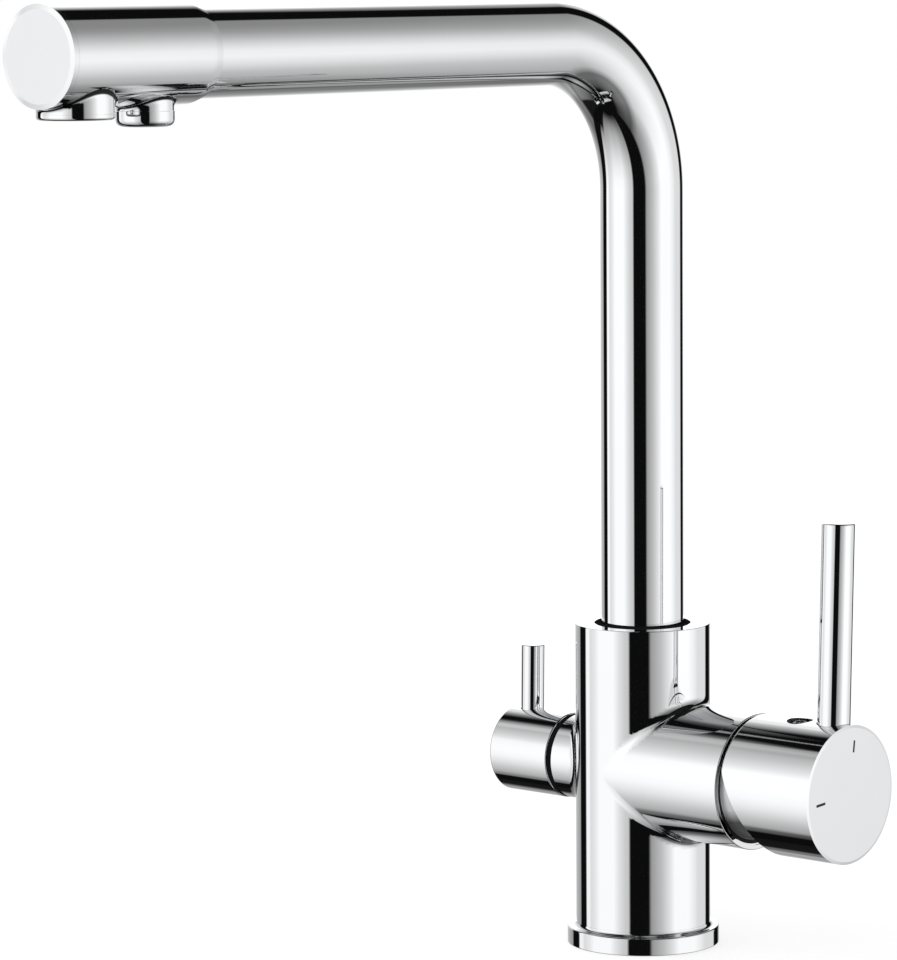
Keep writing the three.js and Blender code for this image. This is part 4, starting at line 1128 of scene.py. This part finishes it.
def make_handle():
    bore, inner_end = HANDLE_BORE_R, HANDLE_END - 3.0
    cup = Lathe([
        (0, 66.2), (bore, 66.2), (bore, HANDLE_START), (HANDLE_R, HANDLE_START, 1.3),
        (HANDLE_R, HANDLE_END - 0.25), (HANDLE_R - 0.95, HANDLE_END), (0, HANDLE_END),
    ], X, count=192)
    hollow = Lathe([(9.0, 65.0), (bore, 65.0), (bore, inner_end), (9.0, inner_end)], X, count=128)
    rib = Block((60.0, -10.0, 0.0), (inner_end + 10, 8.0, 40.0))
    size = 100.0
    skirt = Block((-size, -size / 2, -size / 2), (0, size / 2, size / 2),
                  Matrix.Translation((SKIRT_AT, 0, 0)) @ Matrix.Rotation(SKIRT_TILT, 4, "Y"))
    stem_socket = Block((60.0, -4.3, -4.3), (80.6, 4.3, 4.3))
    screw_hole = rod(3.0, 0.0, 23.0, SCREW_WAY, AT_SCREW, 48)
    screw_recess = rod(4.4, 20.8, 25.0, SCREW_WAY, AT_SCREW)
    lever_seat = rod(5.8, 20.4, 26.0, Z, AT_LEVER, 96)
    lever_hole = rod(3.3, 12.4, 21.0, Z, AT_LEVER, 48)
    removed = [
        Solid(carve("handle_hollow", hollow, [rib])),
        skirt,
        stem_socket,
        screw_hole,
        screw_recess,
        lever_seat,
        lever_hole,
        *(mark_block(*mark, MARK_DEPTH, 1.0) for mark in MARKS),
    ]
    made = carve("mixer_handle_shell", cup, removed)
    place(made, "mixer_lever_group", "mixer_handle", "chrome", MIXER_PLACE)
    depth = inner_end + 0.1
    # The handle's hollow gets the near-black finish: painted shade.
    darken_inside(made, shaded_raw_cast, lambda x, y, z: x < depth and math.hypot(y, z - ARM) < bore + 0.05)


def make_lever():
    foot, top = HANDLE_R - 2.5, HANDLE_R + LEVER_RISE
    lever = Lathe([
        (0, foot - 8.0), (3.0, foot - 8.0, 0.3), (3.0, foot), (LEVER_R, foot, 0.2), (LEVER_R, top, 0.6),
        (0, top),
    ], Z, AT_LEVER, 96)
    place(mesh_object("mixer_lever_rod", lever), "mixer_lever_group", "mixer_lever", "chrome", MIXER_PLACE)
    screw = set_screw("mixer_grub_screw", 2.7, 1.8, 0.8, 4.3, 20.7, SCREW_WAY, AT_SCREW)
    place(screw, "mixer_lever_group", "handle_grub_screw", "steel", MIXER_PLACE)


def make_marks():
    """Black paint in the two engraved marks on the handle's face."""
    verts, faces = [], []
    for turn, out, inward in MARKS:
        corners, sides, _ = mark_block(turn, out - 0.05, inward + 0.05, PAINT_DEPTH).mesh()
        base = len(verts)
        verts += corners
        faces += [tuple(base + i for i in side) for side in sides]
    made = new_object("handle_marks", verts, faces)
    place(made, "mixer_lever_group", None, "black_plastic", MIXER_PLACE, ink)


def make_dome():
    steps, inner_r = 16, DOME_R - DOME_WALL

    def arc(r, start, end):
        turns = [start + (end - start) * k / steps for k in range(steps + 1)]
        return [(r * math.sin(turn), PIVOT_X + r * math.cos(turn)) for turn in turns]

    outer_foot, inner_foot = (math.acos((DOME_FOOT - PIVOT_X) / r) for r in (DOME_R, inner_r))
    corners = [
        (19.5, 49.1), (19.5, DOME_FOOT), *arc(DOME_R, outer_foot, DOME_OPENING),
        *arc(inner_r, DOME_OPENING, inner_foot),
    ]
    shell = Lathe(corners, X, count=160)
    for index, (p, n, q, m) in enumerate(shell.spans):
        for side, r in ((1, DOME_R), (-1, inner_r)):
            if all(abs(math.hypot(e[0], e[1] - PIVOT_X) - r) < 1e-6 for e in (p, q)):
                ends = [side * np.array([e[0], e[1] - PIVOT_X]) / r for e in (p, q)]
                shell.spans[index] = (p, ends[0], q, ends[1])
    # The dome's finish carries painted shade on its lower side.
    place(mesh_object("cartridge_dome_shell", shell), "tap_body", "cartridge_dome", "chrome", ARM_PLACE,
          dome_chrome_shaded_below)


# ---- filter handle


def make_filter_handle():
    at_lever, at_screw = (FILTER_LEVER_X, 0, 0), (FILTER_SCREW_X, 0, 0)
    foot, top = FILTER_R - 2.7, FILTER_R + FILTER_LEVER_RISE
    cup = Lathe([
        (0, 37.2), (12.2, 37.2), (12.2, FILTER_START), (FILTER_R, FILTER_START, 0.5),
        (FILTER_R, FILTER_END, 0.8), (0, FILTER_END),
    ], -X, count=160)
    spindle_bore = rod(4.3, 31.0, 52.3, -X, count=48)
    lever_seat = rod(4.15, foot - 0.3, 17.0, Z, at_lever, 96)
    lever_hole = rod(2.5, 5.0, 14.0, Z, at_lever, 32)
    screw_hole = rod(2.3, 0.0, 16.0, -Z, at_screw, 48)
    made = carve("filter_handle_shell", cup, [spindle_bore, lever_seat, lever_hole, screw_hole])
    place(made, "filter_lever_group", "filter_handle", "chrome", FILTER_PLACE)
    pin = Lathe([
        (0, 5.4), (2.2, 5.4, 0.2), (2.2, foot), (FILTER_LEVER_R, foot, 0.2), (FILTER_LEVER_R, top, 0.45),
        (0, top),
    ], Z, at_lever, 96)
    place(mesh_object("filter_lever_pin", pin), "filter_lever_group", "filter_lever", "chrome", FILTER_PLACE)
    screw = set_screw("filter_set_screw", 2.0, 1.4, 0.6, 4.3, 13.5, -Z, at_screw)
    place(screw, "filter_lever_group", "filter_grub_screw", "steel", FILTER_PLACE)
    ring = Lathe([(4.3, 29.5), (14.4, 29.5, 0.15), (14.4, 31.3, 0.15), (4.3, 31.3)], -X, count=128)
    place(mesh_object("filter_slip_ring", ring), "tap_body", "filter_glide_ring", "black_plastic", ARM_PLACE)


make_casting()
make_base()
make_spout()
make_head()
make_outlets()
make_handle()
make_lever()
make_marks()
make_dome()
make_filter_handle()
